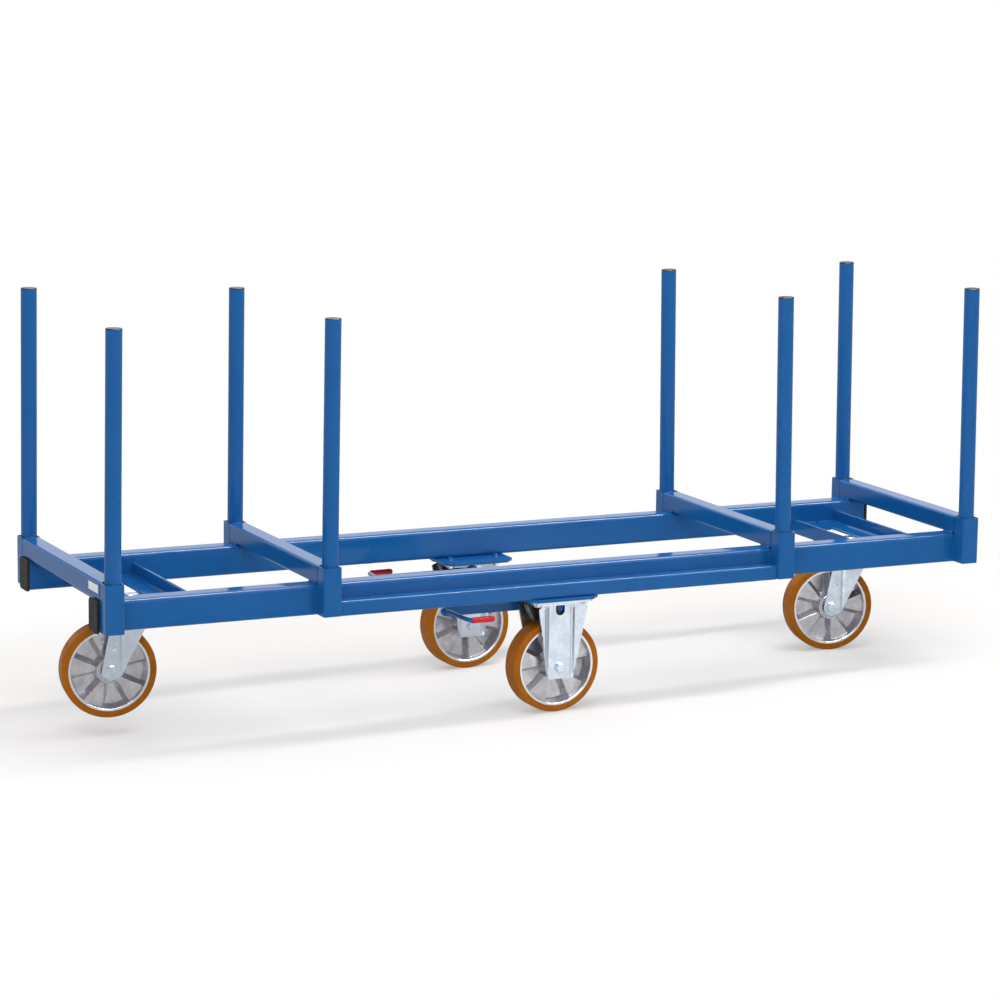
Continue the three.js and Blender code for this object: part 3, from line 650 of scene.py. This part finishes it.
# Profiles of (radius, place) points, drawn for one face of a wheel
RING_PROFILE = [(RIM_RADIUS, 28.4), (RIM_RADIUS - 0.6, 29), (102, 29), (101, 28.4)]
HUB_PROFILE = [
    (12.9, 22), (24.2, 22), (24.2, 28.6), (24.8, 29.2), (27.4, 29.2), (28, 28.6), (28.2, 27),
    (30, 27), (30.2, 28.8), (31, 29.8), (32.6, 29.8), (33.4, 29), (33.8, 24),
]
TURNED_FACES = (
    [(RIM_RADIUS + 0.1, 28.5), (RIM_RADIUS + 0.1, 29.35), (102.2, 29.35), (101.2, 28.5)],
    [(30.6, 29.4), (31, 30), (32.4, 30), (32.9, 29.4)],
    [(24.9, 29), (25.2, 29.4), (26.9, 29.4), (27.2, 29)],
)
BEARING_PROFILE = [(24, 20), (24, 27.8), (23.6, 28.2), (21.6, 28.2), (21.2, 27.8), (21.2, 20)]
SEAL_PROFILE = [(21.3, 22), (21.3, 26.8), (19, 27.3), (16, 26.8), (16, 22)]
MARK_PROFILE = [(0, -0.2), (6, -0.2), (5.8, 0.02), (5, 0.32), (4.2, 0.1), (0, 0.08)]


def cast_web(phase):
    """The folded web between hub and ring, with the slopes that let it out of its mould."""
    shape = turned([(r, -1) for r in WEB_RADII] + [(r, 1) for r in reversed(WEB_RADII)], SECTORS * COLUMNS)
    sector_turn = 2 * math.pi / SECTORS
    for vert in shape.verts:
        face = math.copysign(1, vert.co.y)
        radius = math.hypot(vert.co.x, vert.co.z)
        index = round(math.atan2(vert.co.z, vert.co.x) / sector_turn * COLUMNS) % (SECTORS * COLUMNS)
        sector, column = divmod(index, COLUMNS)
        near = (sector % 2 == 0) == (face < 0)
        level = NEAR_PANEL if near else FAR_PANEL
        foot = WALL_HALF / radius
        if column == 0:
            level, angle = (NEAR_PANEL + FAR_PANEL) / 2, 0
        else:
            angle = foot + (sector_turn - 2 * foot) * (column - 1) / (COLUMNS - 2)
        ring = 28.6 - max(0, WEB_RING - radius) / WEB_DRAFT
        hub = 26 - max(0, radius - WEB_HUB) / WEB_DRAFT
        angle += math.radians(phase) + sector * sector_turn
        vert.co = (radius * math.cos(angle), face * max(level, ring, hub), radius * math.sin(angle))
    bmesh.ops.recalc_face_normals(shape, faces=shape.faces)
    return soften(shape, 0.9, 2, 22)


def mirrored_profile(points):
    """A profile drawn for one face of the wheel, closed by its mirror image."""
    return points + [(radius, -place) for radius, place in reversed(points)]


def tread_profile():
    """The tyre's profile, its shoulders rounded and its tread slightly crowned."""
    half, shoulder = TYRE_HALF, 5
    profile = [(RIM_RADIUS + 0.3, -half + 0.6), (RIM_RADIUS + 1.2, -half)]
    profile += [(WHEEL_RADIUS - shoulder - 0.4, -half + 0.1)]
    profile += arc((WHEEL_RADIUS - shoulder - 0.2, -half + shoulder), shoulder, -80, -6, 7)
    profile += [(WHEEL_RADIUS - 0.1, -half / 2)]
    return profile + [(WHEEL_RADIUS, 0)] + [(radius, -along) for radius, along in reversed(profile)]


def both_faces(*profiles):
    """Rings turned from profiles that are drawn for one face of a wheel, on both faces."""
    rings = []
    for face in BOTH:
        rings += [turned([(radius, face * along) for radius, along in profile]) for profile in profiles]
    return merged(*rings)


def wheel(name, place, turn, wheel_body):
    """Tyre, rim, bearings and marks of a wheel."""

    def put(piece, shape, finish, stands_for=(), sharp=32.0):
        moved(shape, place, turn)
        add_piece(f"{piece}_{name}", shape, wheel_body, finish, stands_for, sharp)

    put("tyre", turned(tread_profile(), 128), POLYURETHANE, [f"wheel_tyre_{name}"], 50)
    phase, sector = PANEL_PHASE[name], 360 / SECTORS
    ring, hub = turned(mirrored_profile(RING_PROFILE), 140), turned(mirrored_profile(HUB_PROFILE), 72)
    rim = merged(ring, hub, cast_web(phase))
    put("rim", rim, CAST_ALUMINIUM, [f"wheel_rim_{name}"])
    put("rim_faces", both_faces(*TURNED_FACES), TURNED_ALUMINIUM)
    put("bearings", both_faces(BEARING_PROFILE), TURNED_ALUMINIUM)
    put("bearing_seals", both_faces(SEAL_PROFILE), BEARING_SEAL)
    marks = []
    for face in BOTH:
        for i in range(SECTORS // 2):
            around = math.radians(phase + sector * (2 * i + (0.5 if face < 0 else 1.5)))
            spot = (MARK_CIRCLE * math.cos(around), face * NEAR_PANEL, MARK_CIRCLE * math.sin(around))
            marks.append(moved(turned(MARK_PROFILE, 20), spot, 180 if face < 0 else 0, "X"))
    put("rim_marks", merged(*marks), CAST_ALUMINIUM)


LEG = 5  # thickness of the sheet that the castors' legs are pressed from


def axle(name, place, turn, leg_gap, body, head_radius=13.3):
    """The axle bolt with its spacers, heads and washers."""
    inside, outside = leg_gap / 2 - GAP, leg_gap / 2 + LEG
    parts = [round_bar(0, 8, -outside - 1, outside + 1, 32), round_bar(7, 12.4, -inside, inside, 48)]
    spacer = [(12, 30.3), (17.2, 30.3), (17.8, 31), (17.8, inside - 0.8), (17.2, inside), (12, inside)]
    for face in BOTH:
        parts.append(turned([(radius, face * along) for radius, along in spacer], 48))
        head = bolt_head(head_radius, 9, head_radius + 2)
        parts.append(moved(head, (0, face * (outside + 0.1), 0), -90 * face, "X"))
    plated(f"axle_bolt_{name}", moved(merged(*parts), place, turn), body, f"wheel_axle_{name}")


# Castors

PLATE_SIZE = (175, 140, 12)  # length, width and corner of a top plate
PLATE_BOTTOM, PLATE_TOP = CASTOR_TOP - 8, CASTOR_TOP - GAP
BOLT_X, BOLT_Y = 70, 52.5  # from the middle of a top plate to its bolts
BOLT_SPOTS = [(x, y) for x in (-BOLT_X, BOLT_X) for y in (-BOLT_Y, BOLT_Y)]


def top_plate():
    """A castor's top plate and the heads of its four bolts under it."""
    parts = [prism(rectangle(*PLATE_SIZE), "z", PLATE_BOTTOM, PLATE_TOP, edge=1)]
    for spot in BOLT_SPOTS:
        head = bolt_head(radius=9.6, height=7.5, washer=10.8)
        parts.append(moved(head, (*spot, PLATE_BOTTOM + SUNK), 180, "X"))
    return parts


def bent_half(rear, leg, front, gap, bend, top, cuts, press):
    """Half of a sheet bent over a wheel: drawn flat, bent down into a leg and pressed.
    rear and front are (along, across) points of its crown, leg has (along, height) points."""
    middle = (gap + LEG) / 2
    flat = middle - bend
    arc_length = math.pi / 2 * bend

    def developed(height):
        return flat + arc_length + (top - bend - height)

    shape = bmesh.new()
    drawn_face(shape, [(x, -s) for x, s in rear + [(x, developed(z)) for x, z in leg] + front])
    steps = 7
    lines = [((0, -(flat + arc_length * i / steps), 0), (0, 1, 0)) for i in range(steps + 1)]
    lines += [((x, -developed(z), 0), normal) for x, z, normal in cuts]
    for spot, normal in lines:
        geometry = shape.verts[:] + shape.edges[:] + shape.faces[:]
        bmesh.ops.bisect_plane(shape, geom=geometry, dist=0.0001, plane_co=spot, plane_no=normal)
    for vert in shape.verts:
        x, s = vert.co.x, -vert.co.y
        if s <= flat:
            place, outward = Vector((x, -s, top)), Vector((0, 0, 1))
        elif s < flat + arc_length:
            angle = (s - flat) / bend
            outward = Vector((0, -math.sin(angle), math.cos(angle)))
            place = Vector((x, -flat, top - bend)) + outward * bend
        else:
            outward = Vector((0, -1, 0))
            place = Vector((x, -middle, top - bend - (s - flat - arc_length)))
        vert.co = place + outward * press(x, place.z)
    return shape


def thickened(shape):
    """A middle surface given its wall, equally to both sides."""
    bmesh.ops.remove_doubles(shape, verts=shape.verts, dist=0.01)
    bmesh.ops.recalc_face_normals(shape, faces=shape.faces)
    shape.normal_update()
    for vert in shape.verts:
        vert.co += vert.normal * (LEG / 2)
    bmesh.ops.solidify(shape, geom=shape.faces[:], thickness=LEG)
    bmesh.ops.recalc_face_normals(shape, faces=shape.faces)
    return shape


# A swivel fork, measured along the castor from its swivel axis
FORK_GAP, FORK_BEND, FORK_TOP = 72, 9, 260.5
FORK_REAR, FORK_FRONT = [(-59, 0), (-59, 29.5)], [(43, 29.5), (49, 21.5), (50, 0)]
TIP_RADIUS, TIP_REACH = 22, 36  # round the axle, and how far the tip reaches in front of it
CREASE, GROOVE_WIDTH, GROOVE_DEPTH = -41, 16, 1.6
PRESS_TOP, PRESS_FADE = 250, 20  # where a leg's pressing starts, and how far down it is full
PIN_RADIUS, CUP_RADIUS, CUP_BOTTOM = 13, 60, 286
RACE_RADIUS, RACE_BOTTOM, RACE_TOP, RACE_EDGE = 50, 262, 284, 3
DIMPLE_PROFILE = [(0, -1), (6.2, -1), (6.2, 0.1), (5.2, 0.8), (4.2, 0.5), (0, -0.3)]
DIMPLE_PLACE, DIMPLE_RISE = 12, 61  # from the axle to the dimple in a leg


def fork_leg():
    """Down the back of a fork's leg, round the axle and up its front, as (along, height) points."""
    tip = []
    for x, z in arc((-CASTOR_TRAIL, WHEEL_RADIUS), TIP_RADIUS, 180, 360, 12):
        ahead = max(0, x + CASTOR_TRAIL)
        tip.append((x + ahead * (TIP_REACH / TIP_RADIUS - 1), z))
    return [(-61.6, 250)] + tip + [(34, 251)]


def flank_press(x, z):
    """A shallow groove runs down a leg, and the flank in front of it stands out a little."""
    fade = min(1.0, max(0.0, (PRESS_TOP - z) / PRESS_FADE))
    share = min(1.0, max(0.0, (x - CREASE) / GROOVE_WIDTH))
    rise = max(0.0, x - CREASE - GROOVE_WIDTH / 2) * 0.06
    return fade * (rise - GROOVE_DEPTH * math.sin(math.pi * share) ** 2)


def swivel_castor(end_name):
    """Top plate with its bearing cup, fork with race, kingpin and nut, wheel and axle."""
    axis = (ENDS[end_name] * CASTOR_PLACE, 0, CASTOR_RISE)
    turn = -CASTOR_TURN[end_name]
    bore, edge = PIN_RADIUS + 0.5, 5
    cup = [(bore, PLATE_BOTTOM + 0.5), (CUP_RADIUS, PLATE_BOTTOM + 0.5), (CUP_RADIUS, CUP_BOTTOM + edge)]
    cup += arc((CUP_RADIUS - edge, CUP_BOTTOM + edge), edge, 0, -90)
    cup += [(52.2, CUP_BOTTOM), (52.2, CUP_BOTTOM + 2), (bore, CUP_BOTTOM + 2)]
    fixed = top_plate() + [turned(cup, 96, "z")]
    for spot in BOLT_SPOTS:
        fixed.append(moved(round_bar(0, 5, 0, 16, 20, "z", 0.4), (*spot, PLATE_BOTTOM - 2.2)))
    plate = moved(merged(*fixed), axis)
    plated(f"castor_plate_{end_name}", plate, "cart_frame", f"swivel_plate_{end_name}")
    creases = [(CREASE + GROOVE_WIDTH * step / 8, 200, (1, 0, 0)) for step in range(9)]
    creases += [(0, z, (0, 1, 0)) for z in (PRESS_TOP, PRESS_TOP - PRESS_FADE)]
    halves = []
    for side in BOTH:
        size = (FORK_GAP, FORK_BEND, FORK_TOP)
        half = bent_half(FORK_REAR, fork_leg(), FORK_FRONT, *size, creases, flank_press)
        if side > 0:
            bmesh.ops.scale(half, vec=(1, -1, 1), verts=half.verts)
            bmesh.ops.reverse_faces(half, faces=half.faces)
        halves.append(half)
    sheet = thickened(merged(*halves))
    inner = RACE_RADIUS - RACE_EDGE
    race = [(0, RACE_BOTTOM), (44, RACE_BOTTOM)]
    race += arc((inner, RACE_BOTTOM + RACE_EDGE), RACE_EDGE, -90, 0, 4)
    race += arc((inner, RACE_TOP - RACE_EDGE), RACE_EDGE, 0, 90, 4) + [(0, RACE_TOP)]
    pin = turned([(0, 283), (PIN_RADIUS, 283), (PIN_RADIUS, 318), (12, 320), (0, 320)], 40, "z")
    nut = moved(hex_head(20.5, 10.6), (0, 0, CASTOR_TOP + 0.4))
    dimples = []
    for side in BOTH:
        spot = (DIMPLE_PLACE - CASTOR_TRAIL, side * (FORK_GAP / 2 + LEG + 0.1), WHEEL_RADIUS + DIMPLE_RISE)
        dimples.append(moved(turned(DIMPLE_PROFILE, 28), spot, 180 if side < 0 else 0, "X"))
    fork = moved(merged(sheet, turned(race, 96, "z"), pin, nut, *dimples), axis, turn)
    plated(f"fork_{end_name}", fork, f"swivel_{end_name}", f"swivel_fork_{end_name}")
    angle = math.radians(CASTOR_TURN[end_name])
    x, y = axis[0] - CASTOR_TRAIL * math.cos(angle), CASTOR_TRAIL * math.sin(angle)
    centre = (x, y, WHEEL_RADIUS + CASTOR_RISE)
    wheel(end_name, centre, turn, f"wheel_{end_name}")
    axle(end_name, centre, turn, FORK_GAP, f"swivel_{end_name}", 15)


BRACKET_GAP, BRACKET_BEND, BRACKET_TOP = 84, 6, 299.2
BRACKET_LEG = [
    (-56, 288), (-60, 285), (-34.5, 101), (-33, 96), (-28, 94), (36, 94), (41, 96), (42.8, 101),
    (83, 285), (82, 287), (56, 297),
]
PANEL_LEFT, PANEL_RIGHT = -31, 27  # the flat middle panel of a leg
PANEL_TOP, PANEL_BOTTOM, TOP_FADE, BOTTOM_FADE = 293, 98, 9, 12
FLUTE_WIDTH, FLUTE_DEPTH, FLANK_DEPTH = 20, 5.5, 3
SLOT_HALF, SLOT_BOTTOM, SLOT_TOP = 13, 265.8, 292.8
SLOT_OUTLINE = [
    (-SLOT_HALF, SLOT_TOP, 2), (-SLOT_HALF, SLOT_BOTTOM, 12.9),
    (SLOT_HALF, SLOT_BOTTOM, 12.9), (SLOT_HALF, SLOT_TOP, 2),
]
# Walls and depth of the black sheets in and behind the slots, which are painted shade
SHADE_LINER_WALL, SHADE_LINER_DEPTH, SHADE_SHIELD_WALL = 1.6, 5.6, 1.2


def panel_press(x, z):
    """Flutes run down both sides of a leg's middle panel, and the flanks beside them lie lower."""
    fade = min(1.0, max(0.0, (PANEL_TOP - z) / TOP_FADE))
    fade *= min(1.0, max(0.0, (z - PANEL_BOTTOM) / BOTTOM_FADE))
    share = max(PANEL_LEFT - x, x - PANEL_RIGHT, 0) / FLUTE_WIDTH
    if share >= 1:
        return -FLANK_DEPTH * fade
    groove = (1 - math.cos(2 * math.pi * share)) / 2 * (FLUTE_DEPTH - FLANK_DEPTH / 2)
    return -fade * (groove + FLANK_DEPTH * share * share * (3 - 2 * share))


def slot_shade_liner():
    """Painted shade: a black liner in the slots of both legs, and behind each a black shield, so that the
    slots look dark inside.
    """
    outside, behind = BRACKET_GAP / 2 + LEG, BRACKET_GAP / 2 - SHADE_SHIELD_WALL
    shade_liners = []
    for start in (-outside, outside - SHADE_LINER_DEPTH):
        shade_liners.append(hollow(SLOT_OUTLINE, SHADE_LINER_WALL, "y", start, start + SHADE_LINER_DEPTH))
    centre = (0, 0, (SLOT_BOTTOM + SLOT_TOP - 1) / 2)
    outline = rectangle(2 * SLOT_HALF + 4, SLOT_TOP - SLOT_BOTTOM + 2.6, 3)
    shade_shield = prism(outline, "y", -behind, behind, centre)
    past = [(-20, -20), (20, -20), (20, 20), (-20, 20)]  # beyond the shade shield's edges
    core = prism(past, "y", SHADE_SHIELD_WALL - behind, behind - SHADE_SHIELD_WALL, centre)
    bore = moved(round_bar(0, 7.6, -outside, outside, 40), (0, 0, SHAFT_HEIGHT))
    # Where core and bore overlap, the cut leaves a skin round the shaft, from shade shield to shade shield
    return merged(*shade_liners, cut_from(shade_shield, core, bore))


def fixed_castor(side_name):
    """Bracket with its slots and painted nuts, wheel and axle."""
    side = SIDES[side_name]
    place = (0, side * FIXED_PLACE, 0)
    # Black sheets in the slots, painted shade inside the bracket
    shade_liner = moved(slot_shade_liner(), place)
    add_piece(f"slot_shade_liner_{side_name}", shade_liner, "cart_frame", BLACK_STEEL_AND_SHADE)
    heights = (PANEL_TOP, PANEL_TOP - TOP_FADE, PANEL_BOTTOM + BOTTOM_FADE, PANEL_BOTTOM)
    cuts = [(0, z, (0, 1, 0)) for z in heights]
    for step in range(11):
        cuts.append((PANEL_LEFT - FLUTE_WIDTH * step / 10, 200, (1, 0, 0)))
        cuts.append((PANEL_RIGHT + FLUTE_WIDTH * step / 10, 200, (1, 0, 0)))
    halves = []
    for half_turn in (0, 180):
        size = (BRACKET_GAP, BRACKET_BEND, BRACKET_TOP)
        half = bent_half([(-56, 0)], BRACKET_LEG, [(56, 0)], *size, cuts, panel_press)
        halves.append(moved(half, turn=half_turn))
    slot = prism(SLOT_OUTLINE, "y", -60, 60, steps=10)
    legs = cut_from(thickened(merged(*halves)), slot)
    nuts = []
    for x in (-BOLT_X, BOLT_X):
        y = -side * BOLT_Y
        nuts.append(moved(bolt_head(radius=8.2, height=6, washer=9.2), (x, y, RAIL_BOTTOM + SUNK)))
        nuts.append(moved(round_bar(0, 4, 0, 3.2, 20, "z", 0.6), (x, y, RAIL_BOTTOM + 6)))
    painted(f"bracket_nuts_{side_name}", moved(merged(*nuts), place))
    bracket = moved(merged(legs, *top_plate()), place)
    plated(f"bracket_{side_name}", bracket, "cart_frame", f"fixed_bracket_{side_name}")
    centre = (0, side * FIXED_PLACE, WHEEL_RADIUS)
    wheel(side_name, centre, 0, f"wheel_{side_name}")
    axle(side_name, centre, 0, BRACKET_GAP, "cart_frame")


# Brakes

LEVER_OUTER, LEVER_INNER, SHAFT_TIP = FIXED_PLACE - 48, FIXED_PLACE - 56, FIXED_PLACE + 47
LEVER_OUTLINE = [(-302, -18, 12), (14, -18, 12), (14, 6, 12), (-302, 6, 12)]  # from the shaft
ROD_PLACE, ROD_LEVEL, ROD_RADIUS, ROD_BEND = 336, 274.5, 6, 17  # the rod runs outside the doubler
GRIP_START, GRIP_RADIUS, GRIP_LENGTH = -262, 8.2, 66
SHOE_GAP, SHOE_HALF = 11, 18
COILS, COIL_STEPS, COIL_RADIUS, WIRE_RADIUS = 7, 12, 2.6, 0.9


def brake_lever(side_name):
    """The lever with its cross shaft, rod and grip, and the shoe with its spring."""
    side, body = SIDES[side_name], f"lever_{side_name}"
    tip, step = SHAFT_TIP, 9
    shaft = [(0, LEVER_INNER), (7, LEVER_INNER), (7, tip - step), (8.8, tip - step), (8.8, tip - 1)]
    shaft = turned(shaft + [(8, tip), (0, tip)], 40)
    moved(shaft, (0, 0, SHAFT_HEIGHT), 180 if side < 0 else 0)
    low, high = sorted((side * LEVER_INNER, side * LEVER_OUTER))
    hub = turned([(6, low - 2), (12.5, low - 2), (13.5, low - 1), (13.5, high), (6, high)], 48)
    moved(hub, (0, 0, SHAFT_HEIGHT))
    bar = prism(LEVER_OUTLINE, "y", low, high, (0, 0, SHAFT_HEIGHT), edge=0.8, steps=8)
    middle, outside = side * (LEVER_INNER + LEVER_OUTER) / 2, side * ROD_PLACE
    bends = [(-290, middle, 283), (-268, outside, ROD_LEVEL), (-212.5, outside, ROD_LEVEL)]
    path = rounded_path(bends, ROD_BEND)
    rod = swept(path, [ROD_RADIUS] * len(path), 20)
    painted(f"lever_{side_name}", merged(shaft, hub, bar, rod), f"brake_lever_{side_name}", body=body)
    bore, straight = ROD_RADIUS + 0.1, GRIP_LENGTH - GRIP_RADIUS
    grip = [(bore, 0), (7.6, 0), (8.1, 0.8), (8.1, 3), (7.7, 3.8), (7.9, 20), (8.2, 46)]
    grip += arc((0, straight), GRIP_RADIUS, 0, 90, 8) + [(0, 52), (bore, 52)]
    grip = moved(turned(grip, 40, "x"), (GRIP_START, outside, ROD_LEVEL))
    add_piece(f"grip_{side_name}", grip, body, RED_PLASTIC, [f"brake_grip_{side_name}"])
    contact, middle = WHEEL_RADIUS + SHOE_GAP, side * FIXED_PLACE
    outline = [(-80, 10, 3)]
    for i in range(9):
        x = -60 + 40 * i / 8
        outline.append((x, math.sqrt(contact**2 - x**2) - (SHAFT_HEIGHT - WHEEL_RADIUS)))
    outline += [(13, -7.5, 2), (13, 10, 3)]
    shoe = prism(outline, "y", middle - SHOE_HALF, middle + SHOE_HALF, (0, 0, SHAFT_HEIGHT), edge=1.5)
    add_piece(f"brake_block_{side_name}", shoe, body, BLACK_STEEL_AND_SHADE)
    count = COILS * COIL_STEPS
    top, bottom = Vector((-79, middle - 12, 289)), Vector((-60, middle - 12, 255))
    path = []
    for i in range(count + 1):
        angle = 2 * math.pi * i / COIL_STEPS
        around = Vector((0.9 * math.cos(angle), math.sin(angle), 0.42 * math.cos(angle)))
        path.append(top.lerp(bottom, i / count) + around * COIL_RADIUS)
    plated(f"brake_spring_{side_name}", swept(path, [WIRE_RADIUS] * len(path), 8), body)


# The whole cart
for side_name in SIDES:
    side_rail(side_name)
    for number in range(1, len(BAR_PLACES) + 1):
        stake_pocket(side_name, number)
        stake(side_name, number)
    for end_name in ENDS:
        rail_buffer(side_name, end_name)
        castor_gusset(side_name, end_name)
    fixed_castor(side_name)
    brake_lever(side_name)
for number in range(1, len(BAR_PLACES) + 1):
    cross_bar(number)
for end_name in ENDS:
    for which in ("outer", "inner"):
        castor_angle(end_name, which)
    swivel_castor(end_name)
blank_label()


# Floor, light and camera

FLOOR_COLOUR = (0.74, 0.715, 0.69, 1)
FLOOR_SLOPE, FLOOR_DROP = 1.296, 0.0003  # degrees, so that it touches three wheels, and metres
PAINTED_BRIGHT_SPOT, PAINTED_DARK_SPOT = (0.45, -1.2, 0), (-0.3, -1.35, 0)  # painted light and painted shade in the floor's glow, seen only in what shines


def grey_bands(tree, bands):
    """A colour ramp with (place, level) stops of grey."""
    ramp = new_node(tree, "ValToRGB")
    stops = ramp.color_ramp.elements
    while len(stops) < len(bands):
        stops.new(0.5)
    for stop, (place, level) in zip(stops, bands):
        stop.position = place
        stop.color = (level, level, level, 1)
    return ramp


def distance_from(spot, place):
    """A node that measures how far a point of the floor is from a spot on it."""
    made = new_node(place.id_data, "VectorMath", "DISTANCE")
    made.inputs[1].default_value = spot
    join(place, "Object", made, 0)
    return made


def studio_floor():
    """A pale floor under the middle wheels and the right castor, on which the cart rests."""
    shape = bmesh.new()
    bmesh.ops.create_grid(shape, x_segments=1, y_segments=1, size=60)
    floor = new_object("floor", shape)
    floor.rotation_euler = (0, -math.radians(FLOOR_SLOPE), 0)
    floor.location = (0, 0, -FLOOR_DROP)
    finish = bpy.data.materials.new("studio_floor")
    finish.use_nodes = True
    tree = finish.node_tree
    surface = with_values(
        tree.nodes["Principled BSDF"], Base_Color=FLOOR_COLOUR, Roughness=0.9, Specular_IOR_Level=0.1
    )
    place, rays = new_node(tree, "TexCoord"), new_node(tree, "LightPath")
    white, mix = new_node(tree, "Emission"), new_node(tree, "MixShader")

    # The camera sees the lit floor near the cart, and plain white further away
    around = new_node(tree, "VectorMath", "MULTIPLY_ADD")
    around.inputs[1].default_value = (0.55, 1, 1)
    around.inputs[2].default_value = (0, -0.4, 0)
    away = new_node(tree, "VectorMath", "LENGTH")
    fade = soft_step(tree, 0.72, 1.2, 0.38)
    share, seen = new_node(tree, "Math", "MULTIPLY"), new_node(tree, "Math", "MAXIMUM")
    join(place, "Object", around, 0)
    join(around, "Vector", away, 0)
    join(away, "Value", fade, "Value")
    join(fade, "Result", share, 0)
    join(rays, "Is Camera Ray", share, 1)
    join(share, "Value", seen, 0)
    join(rays, "Is Glossy Ray", seen, 1)
    join(seen, "Value", mix, "Fac")
    join(surface, "BSDF", mix, 1)
    join(white, "Emission", mix, 2)
    join(mix, "Shader", tree.nodes["Material Output"], "Surface")

    # Painted reflection: what shines sees the floor glow, brighter round a spot of painted light and
    # darker round a spot of painted shade
    from_bright, from_dark = distance_from(PAINTED_BRIGHT_SPOT, place), distance_from(PAINTED_DARK_SPOT, place)
    reach = new_node(tree, "Math", "DIVIDE")
    reach.inputs[1].default_value = 5
    bright = grey_bands(tree, ((0.1, 1), (0.22, 0.5), (0.4, 0.6), (0.8, 0.6)))
    dark = soft_step(tree, 0.2, 0.6, 0.2)
    mirrored = new_node(tree, "Math", "MULTIPLY")
    strength = new_node(tree, "Mix")
    strength.inputs[3].default_value = 1
    join(from_bright, "Value", reach, 0)
    join(reach, "Value", bright, "Fac")
    join(from_dark, "Value", dark, "Value")
    join(bright, "Color", mirrored, 0)
    join(dark, "Result", mirrored, 1)
    join(rays, "Is Camera Ray", strength, "Factor")
    join(mirrored, "Value", strength, 2)
    join(strength, 0, white, "Strength")
    floor.data.materials.append(finish)


def studio_world():
    """White for the camera, even light, and for what shines a white horizon, dimmer to the left,
    under a darker ceiling."""
    world = bpy.data.worlds.new("studio")
    bpy.context.scene.world = world
    world.use_nodes = True
    tree = world.node_tree
    sky = with_values(tree.nodes["Background"], Color=(1, 1, 1, 1))
    place, split = new_node(tree, "TexCoord"), new_node(tree, "SeparateXYZ")
    ceiling = grey_bands(tree, ((0.26, 1), (0.36, 0.22), (0.78, 0.16), (0.88, 1)))
    left = soft_step(tree, -0.85, -0.25, 0.6)
    mirrored = new_node(tree, "Math", "MULTIPLY")
    rays = new_node(tree, "LightPath")
    shining, strength = new_node(tree, "Mix"), new_node(tree, "Mix")
    shining.inputs[2].default_value = 0.6
    strength.inputs[3].default_value = 1
    join(place, "Generated", split, "Vector")
    join(split, "Z", ceiling, "Fac")
    join(split, "X", left, "Value")
    join(ceiling, "Color", mirrored, 0)
    join(left, "Result", mirrored, 1)
    join(rays, "Is Glossy Ray", shining, "Factor")
    join(mirrored, "Value", shining, 3)
    join(rays, "Is Camera Ray", strength, "Factor")
    join(shining, 0, strength, 2)
    join(strength, 0, sky, "Strength")


def soft_light(name, place, target, size, power, only_mirrored=False):
    """A rectangular lamp; one that is only mirrored gives highlights and no light."""
    lamp = bpy.data.lights.new(name, "AREA")
    lamp.shape = "RECTANGLE"
    lamp.size, lamp.size_y = size
    lamp.energy = power
    light = bpy.data.objects.new(name, lamp)
    light.location = place
    light.rotation_euler = (Vector(target) - Vector(place)).to_track_quat("-Z", "Y").to_euler()
    light.visible_diffuse = not only_mirrored
    bpy.context.scene.collection.objects.link(light)


CAMERA_PLACE = (-4.11709, -8.64958, 2.25308)
YAW, PITCH, ROLL = 0.44175, -0.17895, 0.01309
SENSOR, LENS = 36, 36 * 3.58685


def photo_camera():
    """The camera where the photograph was taken from, found from points of the frame."""
    level = math.cos(PITCH)
    ahead = Vector((math.sin(YAW) * level, math.cos(YAW) * level, math.sin(PITCH)))
    right = Vector((math.cos(YAW), -math.sin(YAW), 0))
    up = right.cross(ahead)
    right, up = math.cos(ROLL) * right + math.sin(ROLL) * up, math.cos(ROLL) * up - math.sin(ROLL) * right
    data = bpy.data.cameras.new("photo_camera")
    data.sensor_width = SENSOR
    data.lens = LENS
    data.clip_end = 200
    camera = bpy.data.objects.new("photo_camera", data)
    camera.matrix_world = Matrix.Translation(CAMERA_PLACE) @ matrix_of(right, up, -ahead)
    bpy.context.scene.collection.objects.link(camera)
    bpy.context.scene.camera = camera


studio_floor()
studio_world()
# Each lamp's place, the point that it faces, its size and its power
soft_light("key", (-3.0, -4.0, 6.4), (0, 0, 0.3), (5, 4), 260)
soft_light("fill", (2.5, -7.0, 3.0), (0, 0, 0.3), (4, 3), 50)
soft_light("back", (0.5, 5.5, 4.5), (0, 0, 0.4), (4, 3), 70)
soft_light("strip", (1.8, -0.8, 5.0), (1.8, -0.7, 0), (4.5, 0.8), 150)
soft_light("edge_shine", (1.8, -1.2, 5.2), (1.8, -0.4, 0), (5.5, 2.2), 700, only_mirrored=True)
photo_camera()
bpy.context.scene.view_settings.view_transform = "Standard"
